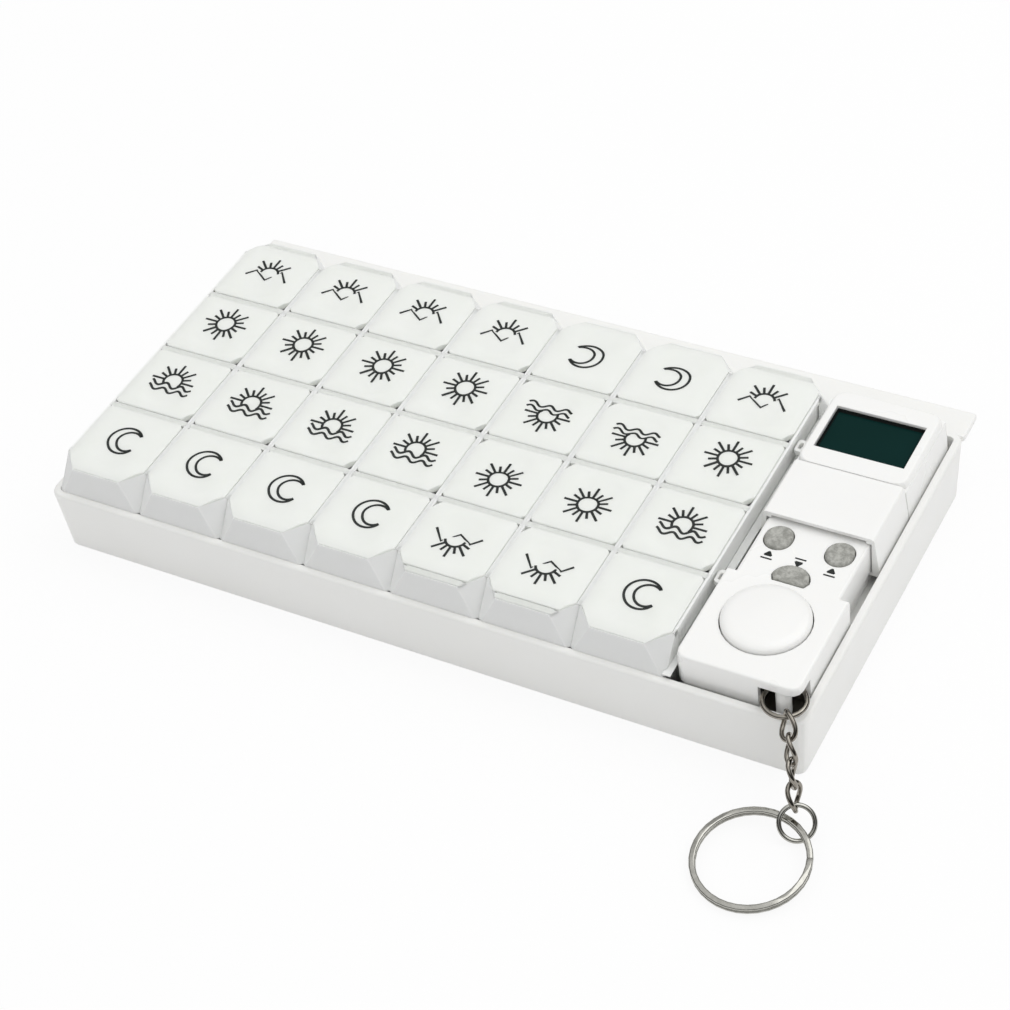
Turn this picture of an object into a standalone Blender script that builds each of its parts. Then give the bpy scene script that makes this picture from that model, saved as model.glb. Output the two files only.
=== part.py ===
"""Electronic pill organizer: a tray, seven lift-out strips of four lidded cells, and a timer fob.

The tray stands on the table. The world origin is the centre of the tray's footprint at table
height, +X runs along the tray to the fob, +Y to the tray's rear ledge and +Z up. Lengths are in
metres. Each strip can be lifted out by itself, each lid swings on a film hinge along its strip's
hinge bar, and the fob lies in a bay at the right end with its key chain hanging over the rim.
"""
import math

import bmesh
import bpy
from mathutils import Matrix, Vector

# Clearances
CLEARANCE = 0.0003
OVERRUN = 0.0020

# Tray
TRAY_WIDTH = 0.2220
TRAY_DEPTH = 0.1094
TRAY_HEIGHT = 0.0200
TRAY_SIDE_GAP = 0.0011
TRAY_END_GAP = 0.0009
TRAY_CORNER = 0.0035
TRAY_DRAFT = 0.00106
TRAY_WALL = 0.0022
TRAY_FLOOR = 0.0018
RIM_ROUND = 0.0008
LEDGE_DEPTH = 0.0090
LEDGE_THICKNESS = 0.0020
LEDGE_DROP = 0.0002
PLATFORM_DROP = 0.0070
PLATFORM_MARGIN = 0.0008
PLATFORM_WALL = 0.0018

# Grid of cells
COLUMNS = 7
ROWS = 4
GRID_CENTRE_Y = 0.0005
TURNED_COLUMNS = (5, 6)

# Strips
STRIP_GAP = 0.0010
STRIP_END_WALL = 0.0009
STRIP_RISE = 0.0072
STRIP_WALL = 0.0012
STRIP_FLOOR = 0.0012
STRIP_DRAFT = 0.0007
POCKET_DRAFT = 0.0006
CORNER_CUT_X = 0.0045
CORNER_CUT_Y = 0.0055
CROSS_WALL = 0.0018
HINGE_BAR = 0.0014
HINGE_BAR_RISE = 0.0014

# Lids
LID_RISE = 0.0024
LID_SIDE_INSET = 0.0003
LID_BEVEL = 0.0009
LID_RECESS = 0.0007
LID_RECESS_MARGIN = 0.0016
LID_CORNER_CUT = 0.0010
GRIP_CUT_X = 0.0022
GRIP_CUT_Y = 0.0032
DISH_MARGIN_X = 0.0035
DISH_MARGIN_Y = 0.0022
DISH_SLOPE = 0.0015
DISH_DEPTH = 0.0004

# Fob outline and its place in the tray
FOB_HALF_WIDTH = 0.01635
FOB_STRIP_GAP = 0.0024
FOB_SIDE_GAP = 0.0004
FOB_END_GAP = 0.0015
WAIST_STEP = 0.0025
FOOT_LENGTH = 0.0320
HOUSING_LENGTH = 0.0300
FOB_CORNER = 0.0030
FOB_WALL = 0.0012
SEAM_RISE = 0.0047
DECK_RISE = 0.0096
FOB_DECK_THICKNESS = 0.0016
FOB_EDGE_ROUND = 0.0009
HOUSING_RISE = 0.0022
HOUSING_DRAFT = 0.0013

# Fob base
BASE_MARGIN = 0.0006
BASE_FLOOR = 0.0015
BASE_EDGE = 0.0006
BOARD_POST_RADIUS = 0.0016
BOARD_POST_SIDE_INSET = 0.0020
BOARD_POST_END_INSET = 0.0028

# Sliding cover
COVER_TOP_THICKNESS = 0.0011
COVER_RUNNER = 0.0014
COVER_LIP = 0.0007
COVER_LIP_HEIGHT = 0.0010
COVER_FRONT_ROOM = 0.0193

# Display
WINDOW_WIDTH = 0.0241
WINDOW_DEPTH = 0.0157
WINDOW_THICKNESS = 0.0012
WINDOW_SINK = 0.0006
WINDOW_LEDGE = 0.0008
WINDOW_BACK_INSET = 0.01575
MODULE_SIDE_MARGIN = 0.00095
MODULE_END_MARGIN = 0.0014
MODULE_HEIGHT = 0.0030

# Buttons
BUTTON_RISE = 0.0007
BUTTON_FLANGE = 0.0006
BUTTON_FLANGE_HEIGHT = 0.0008
BUTTON_STEM_RADIUS = 0.0015
BUTTON_TRAVEL = 0.0006
BUTTON_EDGE = 0.0004
ADJUST_HALF_WIDTH = 0.0035
ADJUST_HALF_LENGTH = 0.0040
ADJUST_SIDE_INSET = 0.00565
ADJUST_GAP = 0.0017
SET_HALF_WIDTH = 0.00475
SET_GAP = 0.0021
SET_LENGTH = 0.0058
DOME_RADIUS = 0.0113
DOME_FRONT_INSET = 0.0186
DOME_SHOULDER = 0.0034
DOME_CROWN = 0.00035
DOME_RISE = 0.0022
DOME_SIDE = 0.0006
DOME_SKIN = 0.0014

# Inside the fob
BOARD_THICKNESS = 0.0012
BOARD_FRONT_INSET = 0.0098
BOARD_BACK_INSET = 0.0070
BOARD_SIDE_GAP = 0.00065
SWITCH_RADIUS = 0.0020
SWITCH_HEIGHT = 0.0003
CELL_RADIUS = 0.0100
CELL_HEIGHT = 0.0032
CELL_RIM = 0.0004
CELL_FRONT_INSET = 0.0290
DOOR_RADIUS = 0.0112
DOOR_LIP = 0.0012
DOOR_LIP_HEIGHT = 0.0007
COIN_SLOT_LENGTH = 0.0140
COIN_SLOT_WIDTH = 0.0016
COIN_SLOT_DEPTH = 0.0008
BUZZER_RADIUS = 0.0070
BUZZER_HEIGHT = 0.0030
BUZZER_PORT_RADIUS = 0.0010
BUZZER_PORT_DEPTH = 0.0010
BUZZER_CELL_PITCH = 0.0300

# Case screws
SCREW_SHANK_RADIUS = 0.0009
SCREW_HEAD_RADIUS = 0.0019
SCREW_HEAD_HEIGHT = 0.0013
SCREW_HEAD_SINK = 0.0003
SCREW_REACH = 0.0055
SCREW_SLOT_WIDTH = 0.0005
SCREW_SLOT_DEPTH = 0.0005
SCREW_BOSS_WALL = 0.0012
REAR_SCREW_INSET = 0.0038
FRONT_SCREW_SIDE_INSET = 0.00455
FRONT_SCREW_INSET = 0.0048

# Corner notch and its post
NOTCH_WIDTH = 0.0106
NOTCH_LENGTH = 0.0069
NOTCH_FLOOR_DROP = 0.0020
NOTCH_ROOF = 0.0027
POST_RADIUS = 0.0020
POST_SIDE_INSET = 0.0050
POST_FRONT_INSET = 0.0023

# Side eyelets
EYELET_REACH = 0.0019
EYELET_WIDTH = 0.0046
EYELET_HEIGHT = 0.0016
EYELET_HOLE_WIDTH = 0.0022
EYELET_WIRE = 0.0008
REAR_EYELET_INSET = 0.0216
FRONT_EYELET_INSET = 0.0295

# Key chain
CHAIN_HEADING_DEG = 29.05
CORNER_RING_RADIUS = 0.0054
CORNER_RING_WIRE = 0.0014
CORNER_RING_DROP = 0.00465
LINK_HALF_LENGTH = 0.003675
LINK_HALF_WIDTH = 0.00245
LINK_WIRE = 0.00125
LINK_TWIST_DEG = 67.5
LINK_DROPS_DEG = (24.0, 50.0, 60.0, 60.0)
JUMP_RING_RADIUS = 0.00435
JUMP_RING_WIRE = 0.0013
JUMP_RING_DROP_DEG = 46.0
SPLIT_RING_RADIUS = 0.01390
SPLIT_RING_BAND = 0.0016
SPLIT_RING_STRIP = 0.00085
SPLIT_RING_GAP = 0.00025
SPLIT_RING_BEARING_DEG = -29.0
SPLIT_RING_TILT_DEG = 4.8
SPLIT_RING_START_DEG = 20.0
SPLIT_RING_CRANK_DEG = 40.0
SPLIT_RING_SEAT = 0.0010

# Facets
CORNER_STEPS = 3
ROUND_STEPS = 2
ROUND_SEGMENTS = 24
DOME_SEGMENTS = 32
LINK_POINTS = 20
RING_POINTS = 24
SPLIT_STEPS = 36
SMOOTH_ANGLE_DEG = 35.0

# Sizes and places that follow from the ones above
FOB_CENTRE_X = TRAY_WIDTH / 2 - TRAY_WALL - FOB_SIDE_GAP - FOB_HALF_WIDTH
GRID_LEFT_X = -TRAY_WIDTH / 2 + TRAY_WALL + TRAY_SIDE_GAP
GRID_RIGHT_X = FOB_CENTRE_X - FOB_HALF_WIDTH - FOB_STRIP_GAP
GRID_CENTRE_X = (GRID_LEFT_X + GRID_RIGHT_X) / 2
COLUMN_PITCH = (GRID_RIGHT_X - GRID_LEFT_X + STRIP_GAP) / COLUMNS
STRIP_WIDTH = COLUMN_PITCH - STRIP_GAP
STRIP_HALF_LENGTH = TRAY_DEPTH / 2 - TRAY_WALL - TRAY_END_GAP
ROW_PITCH = 2 * (STRIP_HALF_LENGTH - STRIP_END_WALL) / ROWS
HINGE_OFFSET_Y = ROW_PITCH / 2 - HINGE_BAR / 2 - CLEARANCE
FOB_BACK_Y = TRAY_DEPTH / 2 - TRAY_WALL - FOB_END_GAP
FOB_FRONT_Y = -FOB_BACK_Y
PLATFORM_EDGE_X = FOB_CENTRE_X - FOB_HALF_WIDTH - PLATFORM_MARGIN
WAIST_HALF_WIDTH = FOB_HALF_WIDTH - WAIST_STEP
WAIST_FRONT_Y = FOB_FRONT_Y + FOOT_LENGTH
WAIST_BACK_Y = FOB_BACK_Y - HOUSING_LENGTH
COVER_BACK_Y = WAIST_BACK_Y - CLEARANCE
COVER_LENGTH = COVER_BACK_Y - WAIST_FRONT_Y - COVER_FRONT_ROOM
WINDOW_Y = FOB_BACK_Y - WINDOW_BACK_INSET
MODULE_WIDTH = WINDOW_WIDTH + 2 * MODULE_SIDE_MARGIN
MODULE_DEPTH = WINDOW_DEPTH + 2 * MODULE_END_MARGIN
ADJUST_X = WAIST_HALF_WIDTH - ADJUST_SIDE_INSET
ADJUST_Y = COVER_BACK_Y - COVER_LENGTH - ADJUST_GAP - ADJUST_HALF_LENGTH
DOME_Y = FOB_FRONT_Y + DOME_FRONT_INSET
SET_FRONT_Y = DOME_Y + DOME_RADIUS + SET_GAP
BOARD_HALF_WIDTH = WAIST_HALF_WIDTH - FOB_WALL - BOARD_SIDE_GAP
BOARD_FRONT_Y = FOB_FRONT_Y + BOARD_FRONT_INSET
BOARD_BACK_Y = FOB_BACK_Y - BOARD_BACK_INSET
BOARD_POST_X = BOARD_HALF_WIDTH - BOARD_POST_SIDE_INSET
CELL_Y = FOB_FRONT_Y + CELL_FRONT_INSET
BUZZER_Y = CELL_Y + BUZZER_CELL_PITCH
REAR_SCREW_Y = FOB_BACK_Y - REAR_SCREW_INSET
FRONT_SCREW_X = FRONT_SCREW_SIDE_INSET - FOB_HALF_WIDTH
FRONT_SCREW_Y = FOB_FRONT_Y + FRONT_SCREW_INSET
NOTCH_X = FOB_CENTRE_X + FOB_HALF_WIDTH - NOTCH_WIDTH
NOTCH_Y = FOB_FRONT_Y + NOTCH_LENGTH
POST_X = FOB_CENTRE_X + FOB_HALF_WIDTH - POST_SIDE_INSET
POST_Y = FOB_FRONT_Y + POST_FRONT_INSET
REAR_EYELET_Y = FOB_BACK_Y - REAR_EYELET_INSET
FRONT_EYELET_Y = FOB_FRONT_Y + FRONT_EYELET_INSET

# Levels that follow from the sizes above
STRIP_BOTTOM = TRAY_FLOOR + CLEARANCE
STRIP_TOP = TRAY_HEIGHT + STRIP_RISE
BAR_TOP = STRIP_TOP + HINGE_BAR_RISE
LID_BOTTOM = STRIP_TOP + CLEARANCE
LID_TOP = STRIP_TOP + LID_RISE
HINGE_Z = BAR_TOP + CLEARANCE
PLATFORM_TOP = TRAY_HEIGHT - PLATFORM_DROP
BASE_BOTTOM = PLATFORM_TOP + CLEARANCE
SEAM_Z = BASE_BOTTOM + SEAM_RISE
FOB_DECK_Z = SEAM_Z + DECK_RISE
FACE_BOTTOM = SEAM_Z + CLEARANCE
CEILING_Z = FOB_DECK_Z - FOB_DECK_THICKNESS
HOUSING_TOP = FOB_DECK_Z + HOUSING_RISE
WINDOW_TOP = HOUSING_TOP - WINDOW_SINK
WINDOW_BOTTOM = WINDOW_TOP - WINDOW_THICKNESS
MODULE_TOP = CEILING_Z - CLEARANCE
MODULE_BOTTOM = MODULE_TOP - MODULE_HEIGHT
BOARD_TOP = MODULE_BOTTOM - CLEARANCE
BOARD_BOTTOM = BOARD_TOP - BOARD_THICKNESS
FLANGE_TOP = CEILING_Z - CLEARANCE
SWITCH_TOP = BOARD_TOP + SWITCH_HEIGHT
STEM_BOTTOM = SWITCH_TOP + BUTTON_TRAVEL + CLEARANCE
BASE_INSIDE = BASE_BOTTOM + BASE_FLOOR
NOTCH_FLOOR_Z = SEAM_Z - NOTCH_FLOOR_DROP
NOTCH_CEILING_Z = FOB_DECK_Z - NOTCH_ROOF
EYELET_TOP_Z = CEILING_Z
CORNER_RING_Z = FOB_DECK_Z - CORNER_RING_DROP


def clear_scene():
    """Remove whatever the scene holds."""
    for item in list(bpy.data.objects):
        bpy.data.objects.remove(item, do_unlink=True)


def make_material(name, colour, roughness, metallic=0.0, alpha=1.0):
    """Return a Principled material with the piece's colour and surface."""
    material = bpy.data.materials.new(name)
    material.use_nodes = True
    shader = material.node_tree.nodes["Principled BSDF"]
    shader.inputs["Base Color"].default_value = (*colour, 1.0)
    shader.inputs["Roughness"].default_value = roughness
    shader.inputs["Metallic"].default_value = metallic
    shader.inputs["Alpha"].default_value = alpha
    return material


def make_materials():
    """Return the materials by name."""
    return {
        "tray": make_material("white_styrene", (0.86, 0.86, 0.85), 0.35),
        "strip": make_material("frosted_polypropylene", (0.74, 0.76, 0.74), 0.55, alpha=0.8),
        "lid": make_material("frosted_lid", (0.78, 0.80, 0.78), 0.50, alpha=0.8),
        "case": make_material("white_abs", (0.90, 0.90, 0.89), 0.30),
        "window": make_material("display_glass", (0.010, 0.055, 0.045), 0.08),
        "module": make_material("display_cell", (0.05, 0.09, 0.08), 0.30),
        "rubber": make_material("grey_rubber", (0.38, 0.38, 0.37), 0.65),
        "board": make_material("green_laminate", (0.03, 0.16, 0.06), 0.45),
        "steel": make_material("nickel_plate", (0.62, 0.61, 0.58), 0.22, metallic=1.0),
        "buzzer": make_material("black_buzzer", (0.02, 0.02, 0.02), 0.50),
    }


def empty(name, location, rotation=(0.0, 0.0, 0.0), parent=None):
    """Return an empty that carries the pieces of one moving group."""
    frame = bpy.data.objects.new(name, None)
    frame.empty_display_size = OVERRUN
    frame.location = location
    frame.rotation_euler = rotation
    frame.parent = parent
    bpy.context.collection.objects.link(frame)
    return frame


def mesh_from(name, body):
    """Turn a bmesh into a mesh with smooth shading below the sharp angle."""
    mesh = bpy.data.meshes.new(name)
    body.to_mesh(mesh)
    body.free()
    mesh.shade_smooth()
    mesh.set_sharp_from_angle(angle=math.radians(SMOOTH_ANGLE_DEG))
    return mesh


def add_piece(name, mesh, material, parent=None, location=(0.0, 0.0, 0.0)):
    """Link one object for a sub-part, with its material, under its parent."""
    piece = bpy.data.objects.new(name, mesh)
    if not mesh.materials:
        mesh.materials.append(material)
    piece.location = location
    piece.parent = parent
    bpy.context.collection.objects.link(piece)
    return piece


def combine(piece, body, operation, label):
    """Join a tool body to a piece, or cut it out, with a Boolean in the piece's own frame."""
    tool = bpy.data.objects.new(f"{piece.name}_{label}", mesh_from(label, body))
    tool.parent = piece
    tool.hide_render = True
    tool.display_type = "WIRE"
    bpy.context.collection.objects.link(tool)
    modifier = piece.modifiers.new(label, "BOOLEAN")
    modifier.operation = operation
    modifier.object = tool


def cut(piece, body, label):
    """Cut a body out of a piece."""
    combine(piece, body, "DIFFERENCE", label)


def join(piece, body, label):
    """Join a body to a piece."""
    combine(piece, body, "UNION", label)


def arc(centre, radius, start_deg, end_deg, steps):
    """Return points along an arc, ends included."""
    points = []
    for step in range(steps + 1):
        angle = math.radians(start_deg + (end_deg - start_deg) * step / steps)
        points.append((centre[0] + radius * math.cos(angle), centre[1] + radius * math.sin(angle)))
    return points


def circle(centre, radius, segments=ROUND_SEGMENTS):
    """Return a closed circle's points."""
    return arc(centre, radius, 0, 360, segments)[:-1]


def rounded_rectangle(left, right, front, back, radius, steps=CORNER_STEPS):
    """Return a rectangle with round corners, anticlockwise from its front right corner."""
    points = arc((right - radius, front + radius), radius, -90, 0, steps)
    points += arc((right - radius, back - radius), radius, 0, 90, steps)
    points += arc((left + radius, back - radius), radius, 90, 180, steps)
    points += arc((left + radius, front + radius), radius, 180, 270, steps)
    return points


def cut_rectangle(left, right, front, back, front_left, front_right, back_right, back_left):
    """Return a rectangle whose corners are cut off; each cut is (along x, along y)."""
    return [
        (left + front_left[0], front),
        (right - front_right[0], front),
        (right, front + front_right[1]),
        (right, back - back_right[1]),
        (right - back_right[0], back),
        (left + back_left[0], back),
        (left, back - back_left[1]),
        (left, front + front_left[1]),
    ]


def inset(points, distance):
    """Return an anticlockwise outline moved inwards by a distance, point for point."""
    moved = []
    count = len(points)
    for index, point in enumerate(points):
        here = Vector(point)
        before = (here - Vector(points[index - 1])).normalized()
        after = (Vector(points[(index + 1) % count]) - here).normalized()
        first = Vector((-before.y, before.x))
        second = Vector((-after.y, after.x))
        moved.append(tuple(here + (first + second) * distance / (1 + first.dot(second))))
    return moved


def loft(sections, body=None):
    """Skin a closed body over anticlockwise (outline, height) sections with as many points each."""
    body = body or bmesh.new()
    rings = [[body.verts.new((x, y, height)) for x, y in points] for points, height in sections]
    for lower, upper in zip(rings, rings[1:]):
        around = zip(lower, lower[1:] + lower[:1], upper[1:] + upper[:1], upper)
        for corners in around:
            body.faces.new(corners)
    body.faces.new(reversed(rings[0]))
    body.faces.new(rings[-1])
    return body


def prism(points, bottom, top, body=None):
    """Return a straight body over one outline."""
    return loft([(points, bottom), (points, top)], body)


def rounded_sections(outline, bottom, top, draft, radius):
    """Return sections of a drafted body whose top edge is rounded."""
    sections = [(inset(outline, draft), bottom)]
    for step in range(ROUND_STEPS + 1):
        angle = math.pi / 2 * step / ROUND_STEPS
        height = top - radius * (1 - math.sin(angle))
        sections.append((inset(outline, radius * (1 - math.cos(angle))), height))
    return sections


def turned(profile, segments=ROUND_SEGMENTS):
    """Spin an (radius, height) profile that starts and ends on the Z axis into a closed body."""
    body = bmesh.new()
    verts = [body.verts.new((radius, 0.0, height)) for radius, height in profile]
    edges = [body.edges.new(pair) for pair in zip(verts, verts[1:])]
    bmesh.ops.spin(body, geom=verts + edges, cent=(0.0, 0.0, 0.0), axis=(0.0, 0.0, 1.0),
                   angle=math.tau, steps=segments, use_merge=True)
    bmesh.ops.remove_doubles(body, verts=body.verts, dist=CLEARANCE / 100)
    bmesh.ops.recalc_face_normals(body, faces=body.faces)
    return body


def tray_inside(left, right):
    """Return the outline of the tray's inside at rim height between two walls."""
    half = TRAY_DEPTH / 2 - TRAY_WALL
    return rounded_rectangle(left, right, -half, half, TRAY_CORNER - TRAY_WALL)


def bay_cutter(left, right, floor):
    """Return a drafted cutter for one bay of the tray."""
    outline = tray_inside(left, right)
    draft = TRAY_DRAFT * (TRAY_HEIGHT - floor) / TRAY_HEIGHT
    return loft([(inset(outline, draft), floor), (outline, TRAY_HEIGHT),
                 (outline, TRAY_HEIGHT + OVERRUN)])


def build_tray(materials):
    """Make the tray: drafted walls, rounded rim, rear ledge and the fob's hollow platform."""
    half_width = TRAY_WIDTH / 2
    half_depth = TRAY_DEPTH / 2
    outline = rounded_rectangle(-half_width, half_width, -half_depth, half_depth, TRAY_CORNER)
    body = loft(rounded_sections(outline, 0.0, TRAY_HEIGHT, TRAY_DRAFT, RIM_ROUND))
    tray = add_piece("tray", mesh_from("tray", body), materials["tray"])

    ledge = rounded_rectangle(-half_width, half_width, half_depth - TRAY_WALL / 2,
                              half_depth + LEDGE_DEPTH, RIM_ROUND)
    top = TRAY_HEIGHT - LEDGE_DROP
    bottom = TRAY_HEIGHT - LEDGE_THICKNESS
    join(tray, loft([(ledge, bottom), (ledge, top - RIM_ROUND / 2),
                     (inset(ledge, RIM_ROUND / 2), top)]), "ledge")

    wall_left = -half_width + TRAY_WALL
    wall_right = half_width - TRAY_WALL
    cut(tray, bay_cutter(wall_left, PLATFORM_EDGE_X, TRAY_FLOOR), "strip_bay")
    cut(tray, bay_cutter(PLATFORM_EDGE_X - OVERRUN, wall_right, PLATFORM_TOP), "fob_bay")

    reach = half_depth - TRAY_WALL - PLATFORM_WALL
    hollow = rounded_rectangle(PLATFORM_EDGE_X + PLATFORM_WALL, wall_right - PLATFORM_WALL, -reach, reach,
                               TRAY_CORNER / 2)
    cut(tray, loft([(hollow, -OVERRUN), (hollow, 0.0),
                    (inset(hollow, TRAY_DRAFT), PLATFORM_TOP - PLATFORM_WALL)]), "hollow")
    return tray


def strip_outline(margin):
    """Return a strip's plan, its four corners cut, moved in by a margin."""
    corner = (CORNER_CUT_X, CORNER_CUT_Y)
    outline = cut_rectangle(-STRIP_WIDTH / 2, STRIP_WIDTH / 2, -STRIP_HALF_LENGTH, STRIP_HALF_LENGTH,
                            corner, corner, corner, corner)
    return inset(outline, margin)


def row_centre(row):
    """Return a row's centre along its strip; row 1 is at the hinge end."""
    return ((ROWS + 1) / 2 - row) * ROW_PITCH


def end_cut(distance_from_end):
    """Return the strip's corner cut as it is met at a distance in from the strip's end."""
    share = 1 - distance_from_end / CORNER_CUT_Y
    return (CORNER_CUT_X * share, CORNER_CUT_Y * share)


def pocket_outline(row):
    """Return the mouth of one cell; the end cells follow the strip's cut corners."""
    centre = row_centre(row)
    half = ROW_PITCH / 2 - CROSS_WALL / 2
    square = (LID_CORNER_CUT, LID_CORNER_CUT)
    slope = math.hypot(CORNER_CUT_X, CORNER_CUT_Y)
    end = end_cut(STRIP_END_WALL + CROSS_WALL / 2)
    shift = STRIP_WALL * (slope - CORNER_CUT_Y) / CORNER_CUT_X
    following = (end[0] + shift * CORNER_CUT_X / CORNER_CUT_Y, end[1] + shift)
    back = following if row == 1 else square
    front = following if row == ROWS else square
    side = STRIP_WIDTH / 2 - STRIP_WALL
    return cut_rectangle(-side, side, centre - half, centre + half, front, front, back, back)


def cell_cutter(body, row):
    """Add the cutter of one cell: its pocket, and the lid's seat above it between hinge bars."""
    mouth = pocket_outline(row)
    centre = row_centre(row)
    half = ROW_PITCH / 2 - HINGE_BAR / 2
    front = centre - half
    if row == ROWS:
        front = -STRIP_HALF_LENGTH - OVERRUN
    side = STRIP_WIDTH / 2 + OVERRUN
    square = (LID_CORNER_CUT, LID_CORNER_CUT)
    seat = cut_rectangle(-side, side, front, centre + half, square, square, square, square)
    loft([(inset(mouth, POCKET_DRAFT), STRIP_BOTTOM + STRIP_FLOOR), (mouth, STRIP_TOP),
          (seat, STRIP_TOP), (seat, BAR_TOP + OVERRUN)], body)


def strip_mesh():
    """Make the shared mesh of a strip's body."""
    return mesh_from("strip", loft([(strip_outline(STRIP_DRAFT), STRIP_BOTTOM),
                                    (strip_outline(0.0), STRIP_TOP),
                                    (strip_outline(0.0), BAR_TOP)]))


def lid_outline(row):
    """Return a lid's plan from its hinge line at y = 0 towards its front edge."""
    front = -2 * HINGE_OFFSET_Y
    square = (LID_CORNER_CUT, LID_CORNER_CUT)
    grip = (GRIP_CUT_X, GRIP_CUT_Y)
    back = square
    front_left, front_right = square, grip
    if row == 1:
        back = end_cut(STRIP_END_WALL + HINGE_BAR / 2 + CLEARANCE)
    if row == ROWS:
        front = -STRIP_HALF_LENGTH - (row_centre(row) + HINGE_OFFSET_Y)
        front_left = front_right = (CORNER_CUT_X, CORNER_CUT_Y)
    side = STRIP_WIDTH / 2 - LID_SIDE_INSET
    return cut_rectangle(-side, side, front, 0.0, front_left, front_right, back, back)


def lid_mesh(row):
    """Make a lid: bevelled plate, dished top and a hollow underside, about its hinge line."""
    outline = lid_outline(row)
    front = min(y for _, y in outline)
    side = STRIP_WIDTH / 2 - LID_SIDE_INSET
    corner = (CORNER_CUT_X / 2, CORNER_CUT_Y / 2)
    bottom = LID_BOTTOM - HINGE_Z
    top = LID_TOP - HINGE_Z
    dish = cut_rectangle(-side + DISH_MARGIN_X, side - DISH_MARGIN_X, front + DISH_MARGIN_Y,
                         -DISH_MARGIN_Y, corner, corner, corner, corner)
    recess = inset(outline, LID_RECESS_MARGIN)
    body = loft([(recess, bottom + LID_RECESS), (recess, bottom), (outline, bottom),
                 (outline, top - LID_BEVEL), (inset(outline, LID_BEVEL), top), (dish, top),
                 (inset(dish, DISH_SLOPE), top - DISH_DEPTH)])
    return mesh_from(f"lid_row_{row}", body)


def build_strips(materials):
    """Make the seven strips and their lids; two strips lie turned end for end."""
    body = strip_mesh()
    lids = {row: lid_mesh(row) for row in range(1, ROWS + 1)}
    for column in range(1, COLUMNS + 1):
        across = GRID_CENTRE_X + (column - (COLUMNS + 1) / 2) * COLUMN_PITCH
        turn = math.pi if column in TURNED_COLUMNS else 0.0
        frame = empty(f"strip_frame_{column}", (across, GRID_CENTRE_Y, 0.0), (0.0, 0.0, turn))
        strip = add_piece(f"strip_{column}", body, materials["strip"], frame)
        cells = bmesh.new()
        for row in range(1, ROWS + 1):
            cell_cutter(cells, row)
            hinge = (0.0, row_centre(row) + HINGE_OFFSET_Y, HINGE_Z)
            add_piece(f"lid_{column}_{row}", lids[row], materials["lid"], frame, hinge)
        cut(strip, cells, "cells")


def fob_outline(notched):
    """Return the fob's waisted plan about its centre line, its front right corner notched or not."""
    side = FOB_HALF_WIDTH
    waist = WAIST_HALF_WIDTH
    radius = FOB_CORNER
    if notched:
        notch_x = NOTCH_X - FOB_CENTRE_X
        points = [(notch_x, FOB_FRONT_Y), (notch_x, NOTCH_Y), (side, NOTCH_Y)]
    else:
        points = arc((side - radius, FOB_FRONT_Y + radius), radius, -90, 0, CORNER_STEPS)
    points += [(side, WAIST_FRONT_Y), (waist, WAIST_FRONT_Y), (waist, WAIST_BACK_Y),
               (side, WAIST_BACK_Y)]
    points += arc((side - radius, FOB_BACK_Y - radius), radius, 0, 90, CORNER_STEPS)
    points += arc((-side + radius, FOB_BACK_Y - radius), radius, 90, 180, CORNER_STEPS)
    points += [(-side, WAIST_BACK_Y), (-waist, WAIST_BACK_Y), (-waist, WAIST_FRONT_Y),
               (-side, WAIST_FRONT_Y)]
    points += arc((-side + radius, FOB_FRONT_Y + radius), radius, 180, 270, CORNER_STEPS)
    return points


def notch_outline():
    """Return the corner notch's plan, running out past the fob's front and side."""
    left = NOTCH_X - FOB_CENTRE_X
    right = FOB_HALF_WIDTH + OVERRUN
    front = FOB_FRONT_Y - OVERRUN
    return [(left, front), (right, front), (right, NOTCH_Y), (left, NOTCH_Y)]


def screw_places():
    """Return the two case screws' places about the fob's centre line."""
    return ((0.0, REAR_SCREW_Y), (FRONT_SCREW_X, FRONT_SCREW_Y))


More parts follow.
